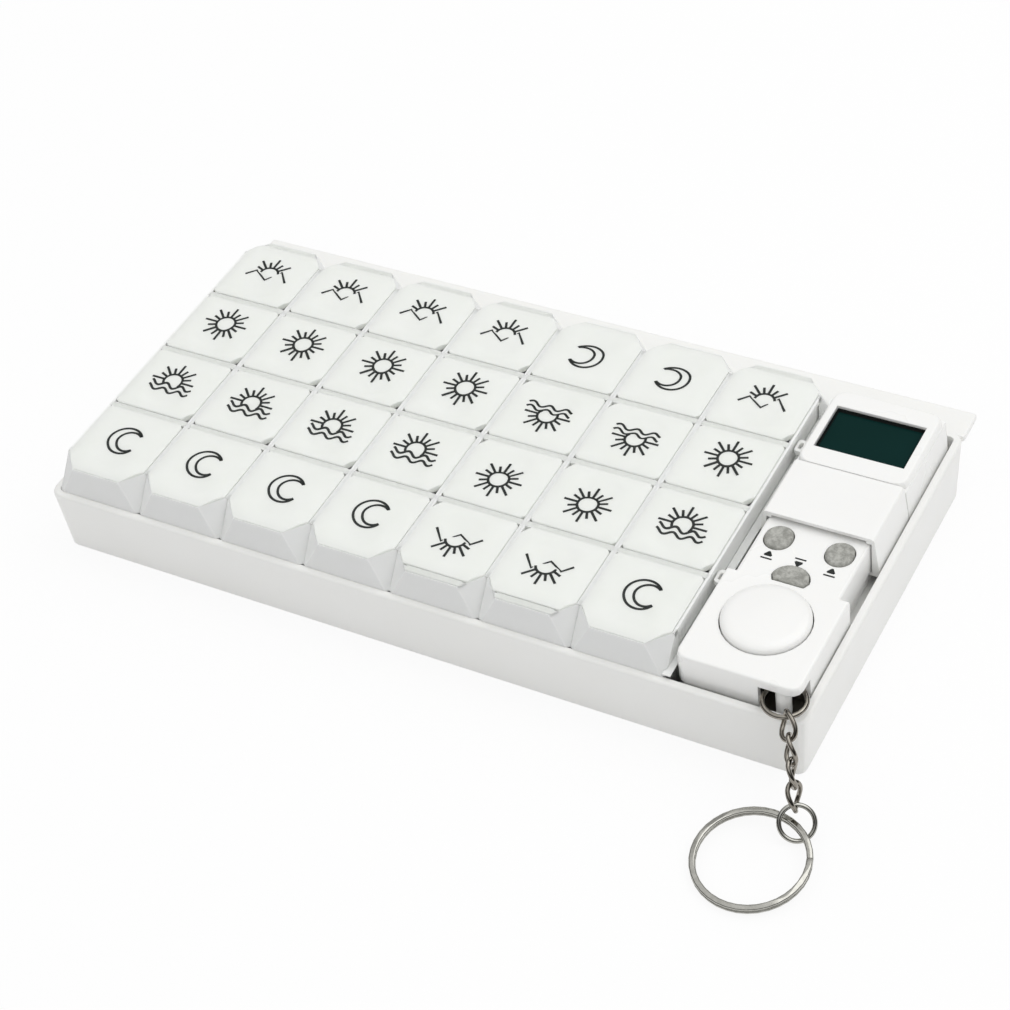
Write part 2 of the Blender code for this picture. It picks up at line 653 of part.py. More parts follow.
def build_fob_base(materials, frame):
    """Make the fob's bottom shell with board posts, screw columns and the battery opening."""
    outer = inset(fob_outline(notched=False), BASE_MARGIN)
    body = loft([(inset(outer, BASE_EDGE), BASE_BOTTOM), (outer, BASE_BOTTOM + BASE_EDGE),
                 (outer, SEAM_Z)])
    base = add_piece("fob_base", mesh_from("fob_base", body), materials["case"], frame)
    inside = inset(fob_outline(notched=True), BASE_MARGIN + FOB_WALL)
    cut(base, prism(inside, BASE_INSIDE, SEAM_Z + OVERRUN), "inside")
    cut(base, prism(notch_outline(), NOTCH_FLOOR_Z, SEAM_Z + OVERRUN), "notch")

    embed = BASE_FLOOR / 2
    posts = bmesh.new()
    for side in (-1, 1):
        for along in (BOARD_FRONT_Y + BOARD_POST_END_INSET, BOARD_BACK_Y - BOARD_POST_END_INSET):
            prism(circle((side * BOARD_POST_X, along), BOARD_POST_RADIUS, ROUND_SEGMENTS // 2),
                  BASE_INSIDE - embed, BOARD_BOTTOM - CLEARANCE, posts)
    join(base, posts, "board_posts")

    head_hole = SCREW_HEAD_RADIUS + CLEARANCE
    shank_hole = SCREW_SHANK_RADIUS + CLEARANCE
    seat = BASE_BOTTOM + SCREW_HEAD_SINK + SCREW_HEAD_HEIGHT + CLEARANCE
    columns = bmesh.new()
    holes = bmesh.new()
    for place in screw_places():
        column = circle(place, head_hole + SCREW_BOSS_WALL / 2)
        prism(column, BASE_INSIDE - embed, SEAM_Z - CLEARANCE, columns)
        loft([(circle(place, head_hole), BASE_BOTTOM - OVERRUN), (circle(place, head_hole), seat),
              (circle(place, shank_hole), seat), (circle(place, shank_hole), SEAM_Z + OVERRUN)], holes)
    join(base, columns, "screw_columns")
    cut(base, holes, "screw_holes")

    centre = (0.0, CELL_Y)
    wide = DOOR_RADIUS + DOOR_LIP + CLEARANCE
    narrow = DOOR_RADIUS + CLEARANCE
    step = BASE_BOTTOM + DOOR_LIP_HEIGHT + CLEARANCE
    cut(base, loft([(circle(centre, wide), BASE_BOTTOM - OVERRUN), (circle(centre, wide), step),
                    (circle(centre, narrow), step), (circle(centre, narrow), BASE_INSIDE + OVERRUN)]),
        "battery_opening")
    return base


def housing_body():
    """Return the raised rear of the fob that holds the display."""
    half = FOB_HALF_WIDTH - CLEARANCE / 2
    rounding = FOB_EDGE_ROUND

    def section(margin, height):
        """Return the housing's plan at a height, its sides and back moved in by a margin."""
        outline = rounded_rectangle(-half + margin, half - margin, WAIST_BACK_Y,
                                    FOB_BACK_Y - margin, FOB_CORNER)
        return outline, height

    return loft([section(0.0, FACE_BOTTOM), section(0.0, TRAY_HEIGHT),
                 section(HOUSING_DRAFT, HOUSING_TOP - rounding),
                 section(HOUSING_DRAFT + rounding / 3, HOUSING_TOP - rounding / 3),
                 section(HOUSING_DRAFT + rounding, HOUSING_TOP)])


def front_body():
    """Return the fob's deck body from its front to where the raised rear begins."""
    outline = fob_outline(notched=False)
    sections = rounded_sections(outline, FACE_BOTTOM, FOB_DECK_Z, 0.0, FOB_EDGE_ROUND)
    return loft(sections)


def button_outline():
    """Return an adjusting button's oval plan."""
    half = ADJUST_HALF_WIDTH
    reach = ADJUST_HALF_LENGTH - half
    return (arc((0.0, reach), half, 0, 180, ROUND_SEGMENTS // 2)
            + arc((0.0, -reach), half, 180, 360, ROUND_SEGMENTS // 2))


def set_outline():
    """Return the set button's plan: flat to the front, bowed to the back."""
    corner = SET_LENGTH / 4
    half = SET_HALF_WIDTH
    bow = []
    for step in range(ROUND_SEGMENTS // 2 + 1):
        angle = math.pi * step / (ROUND_SEGMENTS // 2)
        bow.append((half * math.cos(angle), corner + (SET_LENGTH - corner) * math.sin(angle)))
    return bow + [(-half + corner / 2, 0.0), (half - corner / 2, 0.0)]


def moved(points, across, along):
    """Return an outline shifted in its plane."""
    return [(x + across, y + along) for x, y in points]


def button_places():
    """Return the three small buttons as name, plan and place."""
    return (
        ("hour_button", button_outline(), (-ADJUST_X, ADJUST_Y)),
        ("minute_button", button_outline(), (ADJUST_X, ADJUST_Y)),
        ("set_button", set_outline(), (0.0, SET_FRONT_Y)),
    )


def cut_face_openings(face):
    """Cut the button holes, the dome's hole and the display's stepped opening."""
    holes = bmesh.new()
    for _, outline, place in button_places():
        prism(moved(inset(outline, -CLEARANCE), *place), CEILING_Z - OVERRUN, FOB_DECK_Z + OVERRUN, holes)
    prism(circle((0.0, DOME_Y), DOME_RADIUS + CLEARANCE, DOME_SEGMENTS), CEILING_Z - OVERRUN,
          FOB_DECK_Z + OVERRUN, holes)
    cut(face, holes, "button_holes")

    half_width = WINDOW_WIDTH / 2 + CLEARANCE
    half_depth = WINDOW_DEPTH / 2 + CLEARANCE
    pane = [(-half_width, WINDOW_Y - half_depth), (half_width, WINDOW_Y - half_depth),
            (half_width, WINDOW_Y + half_depth), (-half_width, WINDOW_Y + half_depth)]
    sight = inset(pane, WINDOW_LEDGE + CLEARANCE)
    ledge = WINDOW_BOTTOM - CLEARANCE
    cut(face, loft([(sight, CEILING_Z - OVERRUN), (sight, ledge), (pane, ledge),
                    (pane, HOUSING_TOP + OVERRUN)]), "window_opening")


def add_face_bosses(face):
    """Add the screw bosses under the deck and the post in the corner notch."""
    embed = FOB_DECK_THICKNESS / 2
    bosses = bmesh.new()
    holes = bmesh.new()
    shank_hole = SCREW_SHANK_RADIUS + CLEARANCE
    for place in screw_places():
        prism(circle(place, shank_hole + SCREW_BOSS_WALL), FACE_BOTTOM + CLEARANCE, CEILING_Z + embed, bosses)
        prism(circle(place, shank_hole), FACE_BOTTOM - OVERRUN, SEAM_Z + SCREW_REACH + 2 * CLEARANCE, holes)
    join(face, bosses, "screw_bosses")
    cut(face, holes, "screw_holes")
    post = circle((POST_X - FOB_CENTRE_X, POST_Y), POST_RADIUS, ROUND_SEGMENTS // 2)
    join(face, prism(post, NOTCH_FLOOR_Z + CLEARANCE, NOTCH_CEILING_Z + embed), "post")


def add_eyelets(face):
    """Add the two small eyelets on the fob's left side."""
    loops = bmesh.new()
    holes = bmesh.new()
    root = -FOB_HALF_WIDTH + FOB_WALL
    outer = -FOB_HALF_WIDTH - EYELET_REACH
    bottom = EYELET_TOP_Z - EYELET_HEIGHT
    for along in (REAR_EYELET_Y, FRONT_EYELET_Y):
        half = EYELET_WIDTH / 2
        radius = EYELET_REACH / 2
        prism([(root, along - half), (root, along + half)]
              + arc((outer + radius, along + half - radius), radius, 90, 180, CORNER_STEPS)
              + arc((outer + radius, along - half + radius), radius, 180, 270, CORNER_STEPS),
              bottom, EYELET_TOP_Z, loops)
        reach = EYELET_HOLE_WIDTH / 2
        hole = rounded_rectangle(outer + EYELET_WIRE, -FOB_HALF_WIDTH - CLEARANCE / 3, along - reach,
                                 along + reach, CLEARANCE)
        prism(hole, bottom - OVERRUN, EYELET_TOP_Z + OVERRUN, holes)
    join(face, loops, "eyelets")
    cut(face, holes, "eyelet_holes")


def build_fob_face(materials, frame):
    """Make the fob's top shell: waisted deck, raised display housing, notch, post and eyelets."""
    face = add_piece("fob_face", mesh_from("fob_face", front_body()), materials["case"], frame)
    join(face, housing_body(), "housing")
    inside = inset(fob_outline(notched=True), FOB_WALL)
    cut(face, prism(inside, FACE_BOTTOM - OVERRUN, CEILING_Z), "inside")
    cut(face, prism(notch_outline(), FACE_BOTTOM - OVERRUN, NOTCH_CEILING_Z), "notch")
    add_face_bosses(face)
    cut_face_openings(face)
    add_eyelets(face)
    return face


def build_slide_cover(materials, frame):
    """Make the cover that slides along the waist: runners on the deck and lips under its edge."""
    outer_top = FOB_HALF_WIDTH - HOUSING_DRAFT
    outer = FOB_HALF_WIDTH - CLEARANCE / 2
    bottom = SEAM_Z - COVER_LIP_HEIGHT
    inner = WAIST_HALF_WIDTH + CLEARANCE
    lip_top = SEAM_Z
    runner = FOB_DECK_Z + CLEARANCE
    ceiling = HOUSING_TOP - COVER_TOP_THICKNESS
    rounding = FOB_EDGE_ROUND
    side = [(inner - COVER_LIP, bottom), (outer, bottom), (outer, TRAY_HEIGHT),
            (outer_top, HOUSING_TOP - rounding), (outer_top - rounding / 3, HOUSING_TOP - rounding / 3),
            (outer_top - rounding, HOUSING_TOP)]
    under = [(inner - COVER_RUNNER, ceiling), (inner - COVER_RUNNER, runner), (inner, runner),
             (inner, lip_top), (inner - COVER_LIP, lip_top)]
    left = [(-x, z) for x, z in reversed(side)]
    inside = [(-x, z) for x, z in reversed(under)] + under
    body = prism(side + left + inside, 0.0, COVER_LENGTH)
    bmesh.ops.rotate(body, verts=body.verts, matrix=Matrix.Rotation(math.pi / 2, 3, "X"))
    add_piece("slide_cover", mesh_from("slide_cover", body), materials["case"], frame,
              (0.0, COVER_BACK_Y, 0.0))


def build_display(materials, frame):
    """Make the display's window pane and the liquid crystal module below it."""
    half_width = WINDOW_WIDTH / 2
    half_depth = WINDOW_DEPTH / 2
    pane = rounded_rectangle(-half_width, half_width, -half_depth, half_depth, CLEARANCE)
    body = prism(pane, WINDOW_BOTTOM, WINDOW_TOP)
    add_piece("display_window", mesh_from("display_window", body), materials["window"], frame,
              (0.0, WINDOW_Y, 0.0))
    half_width = MODULE_WIDTH / 2
    half_depth = MODULE_DEPTH / 2
    module = rounded_rectangle(-half_width, half_width, -half_depth, half_depth, CLEARANCE)
    body = prism(module, MODULE_BOTTOM, MODULE_TOP)
    add_piece("display_module", mesh_from("display_module", body), materials["module"], frame,
              (0.0, WINDOW_Y, 0.0))


def build_small_buttons(materials, frame):
    """Make the hour, minute and set buttons: rounded caps on a flange, with a stem."""
    top = FOB_DECK_Z + BUTTON_RISE
    flange_bottom = FLANGE_TOP - BUTTON_FLANGE_HEIGHT
    for name, outline, place in button_places():
        body = loft([(inset(outline, -BUTTON_FLANGE), flange_bottom),
                     (inset(outline, -BUTTON_FLANGE), FLANGE_TOP), (outline, FLANGE_TOP),
                     (outline, top - BUTTON_EDGE), (inset(outline, BUTTON_EDGE), top)])
        button = add_piece(name, mesh_from(name, body), materials["rubber"], frame, (*place, 0.0))
        centre = (0.0, sum(y for _, y in outline) / len(outline))
        stem = circle(centre, BUTTON_STEM_RADIUS, ROUND_SEGMENTS // 2)
        join(button, prism(stem, STEM_BOTTOM, FLANGE_TOP - BUTTON_FLANGE_HEIGHT / 2), "stem")


def build_dome_button(materials, frame):
    """Make the large button: a turned shell with a full shoulder, a flange and a centre stem."""
    edge = FOB_DECK_Z + DOME_SIDE
    top = FOB_DECK_Z + DOME_RISE
    flange = DOME_RADIUS + BUTTON_FLANGE
    flange_bottom = FLANGE_TOP - BUTTON_FLANGE_HEIGHT
    rise = top - edge - DOME_CROWN
    curve = []
    steps = ROUND_STEPS * 2
    for step in range(steps + 1):
        angle = math.pi / 2 * step / steps
        curve.append((DOME_RADIUS - DOME_SHOULDER * (1 - math.cos(angle)), edge + rise * math.sin(angle)))
    curve += [((DOME_RADIUS - DOME_SHOULDER) / 2, top - DOME_CROWN / 4), (0.0, top)]
    inner = DOME_RADIUS - DOME_SKIN
    ceiling = edge - DOME_SKIN / 2
    profile = [(0.0, STEM_BOTTOM), (BUTTON_STEM_RADIUS, STEM_BOTTOM), (BUTTON_STEM_RADIUS, ceiling),
               (inner, ceiling), (inner, flange_bottom), (flange, flange_bottom),
               (flange, FLANGE_TOP), (DOME_RADIUS, FLANGE_TOP), *curve]
    body = turned(profile, DOME_SEGMENTS)
    dome = add_piece("dome_button", mesh_from("dome_button", body), materials["case"], frame,
                     (0.0, DOME_Y, 0.0))
    margin = FOB_WALL + CLEARANCE
    left = NOTCH_X - FOB_CENTRE_X - margin
    back = NOTCH_Y - DOME_Y + margin
    relief = [(left, -flange - OVERRUN), (flange + OVERRUN, -flange - OVERRUN),
              (flange + OVERRUN, back), (left, back)]
    cut(dome, prism(relief, flange_bottom - OVERRUN, FLANGE_TOP), "notch_relief")


def build_board(materials, frame):
    """Make the circuit board with a low switch pad under each button."""
    board = rounded_rectangle(-BOARD_HALF_WIDTH, BOARD_HALF_WIDTH, BOARD_FRONT_Y, BOARD_BACK_Y,
                              CLEARANCE)
    body = prism(board, BOARD_BOTTOM, BOARD_TOP)
    piece = add_piece("circuit_board", mesh_from("circuit_board", body), materials["board"], frame)
    pads = bmesh.new()
    for _, outline, place in button_places():
        middle = sum(y for _, y in outline) / len(outline)
        prism(circle((place[0], place[1] + middle), SWITCH_RADIUS, ROUND_SEGMENTS // 2),
              BOARD_TOP - BOARD_THICKNESS / 2, SWITCH_TOP, pads)
    prism(circle((0.0, DOME_Y), SWITCH_RADIUS, ROUND_SEGMENTS // 2), BOARD_TOP - BOARD_THICKNESS / 2,
          SWITCH_TOP, pads)
    join(piece, pads, "switch_pads")


def build_battery(materials, frame):
    """Make the coin cell and the round door below it with its coin slot."""
    bottom = BASE_INSIDE + CLEARANCE
    top = bottom + CELL_HEIGHT
    body = turned([(0.0, bottom), (CELL_RADIUS - CELL_RIM, bottom), (CELL_RADIUS, bottom + CELL_RIM),
                   (CELL_RADIUS, top - CELL_RIM), (CELL_RADIUS - CELL_RIM, top), (0.0, top)])
    add_piece("coin_cell", mesh_from("coin_cell", body), materials["steel"], frame, (0.0, CELL_Y, 0.0))

    lip = DOOR_RADIUS + DOOR_LIP
    step = BASE_BOTTOM + DOOR_LIP_HEIGHT
    body = turned([(0.0, BASE_BOTTOM), (lip, BASE_BOTTOM), (lip, step), (DOOR_RADIUS, step),
                   (DOOR_RADIUS, BASE_INSIDE), (0.0, BASE_INSIDE)])
    door = add_piece("battery_door", mesh_from("battery_door", body), materials["case"], frame,
                     (0.0, CELL_Y, 0.0))
    half_length = COIN_SLOT_LENGTH / 2
    half_width = COIN_SLOT_WIDTH / 2
    slot = rounded_rectangle(-half_length, half_length, -half_width, half_width, half_width * 3 / 4)
    cut(door, prism(slot, BASE_BOTTOM - OVERRUN, BASE_BOTTOM + COIN_SLOT_DEPTH), "coin_slot")


def build_buzzer(materials, frame):
    """Make the buzzer that sounds the alarm, with its sound port."""
    bottom = BASE_INSIDE + CLEARANCE
    top = bottom + BUZZER_HEIGHT
    body = turned([(0.0, bottom), (BUZZER_RADIUS, bottom), (BUZZER_RADIUS, top),
                   (BUZZER_PORT_RADIUS, top), (BUZZER_PORT_RADIUS, top - BUZZER_PORT_DEPTH),
                   (0.0, top - BUZZER_PORT_DEPTH)])
    add_piece("buzzer", mesh_from("buzzer", body), materials["buzzer"], frame, (0.0, BUZZER_Y, 0.0))


def build_case_screws(materials, frame):
    """Make the two screws that hold the fob's shells together."""
    bottom = BASE_BOTTOM + SCREW_HEAD_SINK
    neck = bottom + SCREW_HEAD_HEIGHT
    tip = SEAM_Z + SCREW_REACH
    for number, place in enumerate(screw_places(), start=1):
        body = turned([(0.0, bottom), (SCREW_HEAD_RADIUS, bottom), (SCREW_HEAD_RADIUS, neck),
                       (SCREW_SHANK_RADIUS, neck), (SCREW_SHANK_RADIUS, tip - SCREW_SHANK_RADIUS),
                       (0.0, tip)], ROUND_SEGMENTS // 2)
        name = f"case_screw_{number}"
        screw = add_piece(name, mesh_from(name, body), materials["steel"], frame, (*place, 0.0))
        arm = SCREW_HEAD_RADIUS * 2 / 3
        half = SCREW_SLOT_WIDTH / 2
        cross = [(half, -arm), (half, -half), (arm, -half), (arm, half), (half, half), (half, arm),
                 (-half, arm), (-half, half), (-arm, half), (-arm, -half), (-half, -half), (-half, -arm)]
        cut(screw, prism(cross, bottom - OVERRUN, bottom + SCREW_SLOT_DEPTH), "cross_slot")


def heading():
    """Return the level direction in which the chain leaves the post."""
    angle = math.radians(CHAIN_HEADING_DEG)
    return Vector((math.sin(angle), -math.cos(angle), 0.0))


def chain_axes(drop_deg):
    """Return a chain member's axes: across the chain, in its plane, and along it."""
    level = heading()
    across = Vector((-level.y, level.x, 0.0))
    drop = math.radians(drop_deg)
    along = level * math.cos(drop) - Vector((0.0, 0.0, 1.0)) * math.sin(drop)
    return across, along.cross(across), along


def wire_loop(name, points, wire, material, parent, place, axes):
    """Make a closed loop of round wire whose points are given in the axes at its place."""
    curve = bpy.data.curves.new(name, "CURVE")
    curve.dimensions = "3D"
    curve.bevel_depth = wire / 2
    curve.bevel_resolution = 1
    curve.render_resolution_u = 0
    curve.use_fill_caps = True
    spline = curve.splines.new("POLY")
    spline.points.add(len(points) - 1)
    for point, (x, y, z) in zip(spline.points, points):
        point.co = (x, y, z, 1.0)
    spline.use_cyclic_u = True
    curve.materials.append(material)
    loop = bpy.data.objects.new(name, curve)
    across, upright, along = axes
    loop.parent = parent
    loop.location = place
    loop.rotation_euler = Matrix((across, upright, along)).transposed().to_euler()
    bpy.context.collection.objects.link(loop)
    return loop


def round_loop(radius):
    """Return a ring's points in the plane of its first and third axes."""
    points = []
    for step in range(RING_POINTS):
        angle = math.tau * step / RING_POINTS
        points.append((radius * math.sin(angle), 0.0, radius * math.cos(angle)))
    return points


def twisted_loop(number):
    """Return a link's points: an oval whose plane turns steadily from one end to the other."""
    twist = math.radians(LINK_TWIST_DEG)
    start = math.pi / 2 + (number - 1) * (math.pi / 2 - twist)
    points = []
    for step in range(LINK_POINTS):
        angle = math.tau * step / LINK_POINTS
        plane = start - twist / 2 - twist / 2 * math.cos(angle)
        side = LINK_HALF_WIDTH * math.sin(angle)
        points.append((side * math.cos(plane), side * math.sin(plane),
                       LINK_HALF_LENGTH * math.cos(angle)))
    return points


def meeting_point(end, before, after, share, pitch):
    """Return the next member's end: back inside the last one by the pitch of two crossing wires."""
    return end - (after * (1 - share) + before * share).normalized() * pitch


def build_chain(materials, frame):
    """Make the corner ring, four twisted links, the jump ring and the split ring."""
    level = heading()
    material = materials["steel"]
    post = Vector((POST_X, POST_Y, CORNER_RING_Z))
    slack = CORNER_RING_RADIUS - CORNER_RING_WIRE / 2 - POST_RADIUS - CLEARANCE
    ring_axes = chain_axes(0.0)
    ring_frame = empty("corner_ring_frame", post)
    wire_loop("corner_ring", round_loop(CORNER_RING_RADIUS), CORNER_RING_WIRE, material, ring_frame,
              level * slack, ring_axes)

    end = post + level * (slack + CORNER_RING_RADIUS)
    before = level
    carrier = ring_frame
    carrier_place = post
    wire = CORNER_RING_WIRE
    count = len(LINK_DROPS_DEG)
    for number, drop in enumerate(LINK_DROPS_DEG, start=1):
        axes = chain_axes(drop)
        pitch = (wire + LINK_WIRE) / 2 + CLEARANCE
        start = meeting_point(end, before, axes[2], (number - 1) / count, pitch)
        hinge = (start + end) / 2
        link_frame = empty(f"chain_link_frame_{number}", hinge - carrier_place, parent=carrier)
        centre = start + axes[2] * LINK_HALF_LENGTH
        wire_loop(f"chain_link_{number}", twisted_loop(number), LINK_WIRE, material, link_frame,
                  centre - hinge, axes)
        print(f"chain_link_{number} hinge", [round(value, 6) for value in hinge])
        end = centre + axes[2] * LINK_HALF_LENGTH
        before = axes[2]
        carrier = link_frame
        carrier_place = hinge
        wire = LINK_WIRE

    axes = chain_axes(JUMP_RING_DROP_DEG)
    pitch = (LINK_WIRE + JUMP_RING_WIRE) / 2 + CLEARANCE
    start = meeting_point(end, before, axes[2], 1.0, pitch)
    hinge = (start + end) / 2
    jump_frame = empty("jump_ring_frame", hinge - carrier_place, parent=carrier)
    centre = start + axes[2] * JUMP_RING_RADIUS
    wire_loop("jump_ring", round_loop(JUMP_RING_RADIUS), JUMP_RING_WIRE, material, jump_frame,
              centre - hinge, axes)
    print("jump_ring hinge", [round(value, 6) for value in hinge], "centre",
          [round(value, 6) for value in centre])
    build_split_ring(material, jump_frame, hinge, centre + axes[2] * SPLIT_RING_SEAT)


def build_split_ring(material, carrier, carrier_place, crossing):
    """Make the flat split ring: two turns of strip with a crank where they change level."""
    bearing = math.radians(SPLIT_RING_BEARING_DEG)
    inwards = Vector((math.sin(bearing), -math.cos(bearing), 0.0))
    tangent = Vector((-inwards.y, inwards.x, 0.0))
    frame = empty("split_ring_frame", crossing - carrier_place, parent=carrier)
    half_band = SPLIT_RING_BAND / 2
    layer = SPLIT_RING_STRIP + SPLIT_RING_GAP
    bottom = -(SPLIT_RING_STRIP + layer) / 2

    body = bmesh.new()
    corners = ((-half_band, bottom), (half_band, bottom), (half_band, bottom + SPLIT_RING_STRIP),
               (-half_band, bottom + SPLIT_RING_STRIP))
    verts = [body.verts.new((SPLIT_RING_RADIUS + across, 0.0, height)) for across, height in corners]
    face = body.faces.new(verts)
    crank = math.radians(SPLIT_RING_CRANK_DEG)
    crank_steps = max(2, round(SPLIT_STEPS * crank / math.tau))
    flat = math.tau - crank / 2
    flat_steps = SPLIT_STEPS - crank_steps // 2
    geometry = [face]
    for angle, steps, climb in ((flat, flat_steps, 0.0), (crank, crank_steps, layer),
                                (flat, flat_steps, 0.0)):
        result = bmesh.ops.spin(body, geom=geometry, cent=(0.0, 0.0, 0.0), axis=(0.0, 0.0, 1.0),
                                dvec=(0.0, 0.0, climb / steps), angle=angle, steps=steps)
        geometry = result["geom_last"]
    bmesh.ops.remove_doubles(body, verts=body.verts, dist=CLEARANCE / 100)
    bmesh.ops.recalc_face_normals(body, faces=body.faces)
    turn = Matrix.Rotation(math.radians(SPLIT_RING_START_DEG), 3, "Z")
    bmesh.ops.rotate(body, verts=body.verts, matrix=turn)
    ring = add_piece("split_ring", mesh_from("split_ring", body), material, frame)
    tilt = Matrix.Rotation(math.radians(SPLIT_RING_TILT_DEG), 3, tangent)
    centre = tilt @ (inwards * SPLIT_RING_RADIUS)
    ring.location = centre
    ring.rotation_euler = tilt.to_euler()
    print("split_ring hinge", [round(value, 6) for value in crossing], "axis",
          [round(value, 6) for value in tangent], "centre",
          [round(value, 6) for value in crossing + centre])


def main():
    """Build the whole organizer."""
    clear_scene()
    materials = make_materials()
    build_tray(materials)
    build_strips(materials)
    fob_frame = empty("fob_frame", (FOB_CENTRE_X, 0.0, 0.0))
    build_fob_base(materials, fob_frame)
    build_fob_face(materials, fob_frame)
    build_slide_cover(materials, fob_frame)
    build_display(materials, fob_frame)
    build_small_buttons(materials, fob_frame)
    build_dome_button(materials, fob_frame)
    build_board(materials, fob_frame)
    build_battery(materials, fob_frame)
    build_buzzer(materials, fob_frame)
    build_case_screws(materials, fob_frame)
    build_chain(materials, fob_frame)


main()
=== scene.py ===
"""Electronic pill organizer: the looks of the tray, its strips of lidded cells and its timer fob.

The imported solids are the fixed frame. Plastic shells, keys and wires are copied from them and rounded.
The lids, the large button and the display are made afresh at their places, and each lid carries a
printed sign. Lengths are in metres, and every object lies at the origin with its place in its mesh.
"""
from __future__ import annotations

import logging
import math
from dataclasses import dataclass
from enum import Enum

import bmesh
import bpy
from mathutils import Matrix, Vector
from mathutils.bvhtree import BVHTree


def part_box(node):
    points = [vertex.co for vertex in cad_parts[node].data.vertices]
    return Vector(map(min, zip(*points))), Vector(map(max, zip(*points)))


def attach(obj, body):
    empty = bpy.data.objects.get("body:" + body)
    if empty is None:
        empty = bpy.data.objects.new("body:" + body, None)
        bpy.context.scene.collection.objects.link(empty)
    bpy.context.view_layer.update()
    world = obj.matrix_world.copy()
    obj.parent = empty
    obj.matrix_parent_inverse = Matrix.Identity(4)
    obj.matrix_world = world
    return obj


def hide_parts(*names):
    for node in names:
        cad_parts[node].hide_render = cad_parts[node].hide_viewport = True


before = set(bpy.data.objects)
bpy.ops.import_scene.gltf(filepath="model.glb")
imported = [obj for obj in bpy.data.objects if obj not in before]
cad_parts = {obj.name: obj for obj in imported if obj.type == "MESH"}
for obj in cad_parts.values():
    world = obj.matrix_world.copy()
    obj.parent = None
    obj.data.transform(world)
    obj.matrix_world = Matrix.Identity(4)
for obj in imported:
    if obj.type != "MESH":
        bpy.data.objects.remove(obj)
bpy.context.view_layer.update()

MM = 0.001
# Corners of a mesh nearer to each other than this are one corner.
SAME_PLACE = 0.001 * MM
# A corner of a mesh nearer to a cutting plane than this lies on it.
ON_PLANE = 0.0001 * MM
# A height above every piece, from which rays look down at a surface.
HIGH_UP = 50 * MM
COLUMNS = 7
ROWS = 4
TURNED_COLUMNS = (5, 6)
KEYS = ("hour_button", "minute_button", "set_button")
LOG = logging.getLogger("pill_organizer")

Point = tuple[float, float]
Triple = tuple[float, float, float]
Stroke = list[Point]
Body = bmesh.types.BMesh
Piece = bpy.types.Object
Socket = bpy.types.NodeSocket
Tree = bpy.types.NodeTree


def linear(code: str) -> tuple[float, float, float, float]:
    """Turn an sRGB hex colour to linear.

    Args:
        code: The colour as "#rrggbb".

    Returns:
        The linear red, green and blue, and full opacity.
    """
    parts = [int(code[start:start + 2], 16) / 255 for start in (1, 3, 5)]
    red, green, blue = (
        part / 12.92 if part <= 0.04045 else ((part + 0.055) / 1.055) ** 2.4 for part in parts
    )
    return red, green, blue, 1.0


def connect(tree: Tree, node: bpy.types.Node, inputs: dict) -> None:
    """Give a node's inputs their values, or link them to other nodes.

    Args:
        tree: The node's tree.
        node: The node.
        inputs: A value, or another node's output, for each input by name or number.
    """
    for name, value in inputs.items():
        if isinstance(value, Socket):
            tree.links.new(value, node.inputs[name])
        else:
            node.inputs[name].default_value = value


def add_node(tree: Tree, kind: str, settings: dict | None = None,
             inputs: dict | None = None) -> bpy.types.Node:
    """Add a node to a tree.

    Args:
        tree: The tree that gets the node.
        kind: The node's type name.
        settings: Values of the node's own properties.
        inputs: A value, or another node's output, for each input by name or number.

    Returns:
        The new node.
    """
    node = tree.nodes.new(kind)
    for name, value in (settings or {}).items():
        setattr(node, name, value)
    connect(tree, node, inputs or {})
    return node


def noise(tree: Tree, size: float, detail: float, roughness: float = 0.5) -> Socket:
    """Lay a noise pattern on the object.

    Args:
        tree: The material's tree.
        size: The pattern's size on the object in metres.
        detail: How many finer layers it has.
        roughness: How strong the finer layers are.

    Returns:
        The pattern, from 0 to 1.
    """
    place = add_node(tree, "ShaderNodeTexCoord").outputs["Object"]
    pattern = add_node(tree, "ShaderNodeTexNoise", None,
                       {"Vector": place, "Scale": 1 / size, "Detail": detail, "Roughness": roughness})
    return pattern.outputs["Fac"]


def blend(tree: Tree, pattern: Socket, first: str, second: str) -> Socket:
    """Mix two hex colours by a pattern."""
    mix = add_node(tree, "ShaderNodeMix", {"data_type": "RGBA"},
                   {"Factor": pattern, 6: linear(first), 7: linear(second)})
    return mix.outputs[2]


def spread(tree: Tree, pattern: Socket, low: float, high: float) -> Socket:
    """Stretch a pattern from 0 to 1 over a range of values."""
    reach = add_node(tree, "ShaderNodeMapRange", None, {"Value": pattern, "To Min": low, "To Max": high})
    return reach.outputs["Result"]


def bumps(tree: Tree, pattern: Socket, depth: float, strength: float) -> Socket:
    """Turn a pattern into small bumps in the surface."""
    bump = add_node(tree, "ShaderNodeBump", None,
                    {"Height": pattern, "Distance": depth, "Strength": strength})
    return bump.outputs["Normal"]


def blank_material(name: str) -> tuple[bpy.types.Material, Tree, bpy.types.Node]:
    """Make a material with a bare Principled shader.

    Args:
        name: The material's name.

    Returns:
        The material, its tree and its Principled node.
    """
    material = bpy.data.materials.new(name)
    material.use_nodes = True
    tree = material.node_tree
    return material, tree, tree.nodes["Principled BSDF"]


@dataclass(frozen=True)
class Finish:
    """What every finish can do: make its material once, and dress pieces with it."""

    name: str

    def make(self) -> bpy.types.Material:
        """Make the material."""
        raise NotImplementedError

    def dress(self, piece: Piece) -> None:
        """Give a piece this finish as its only material."""
        material = bpy.data.materials.get(self.name) or self.make()
        piece.data.materials.clear()
        piece.data.materials.append(material)


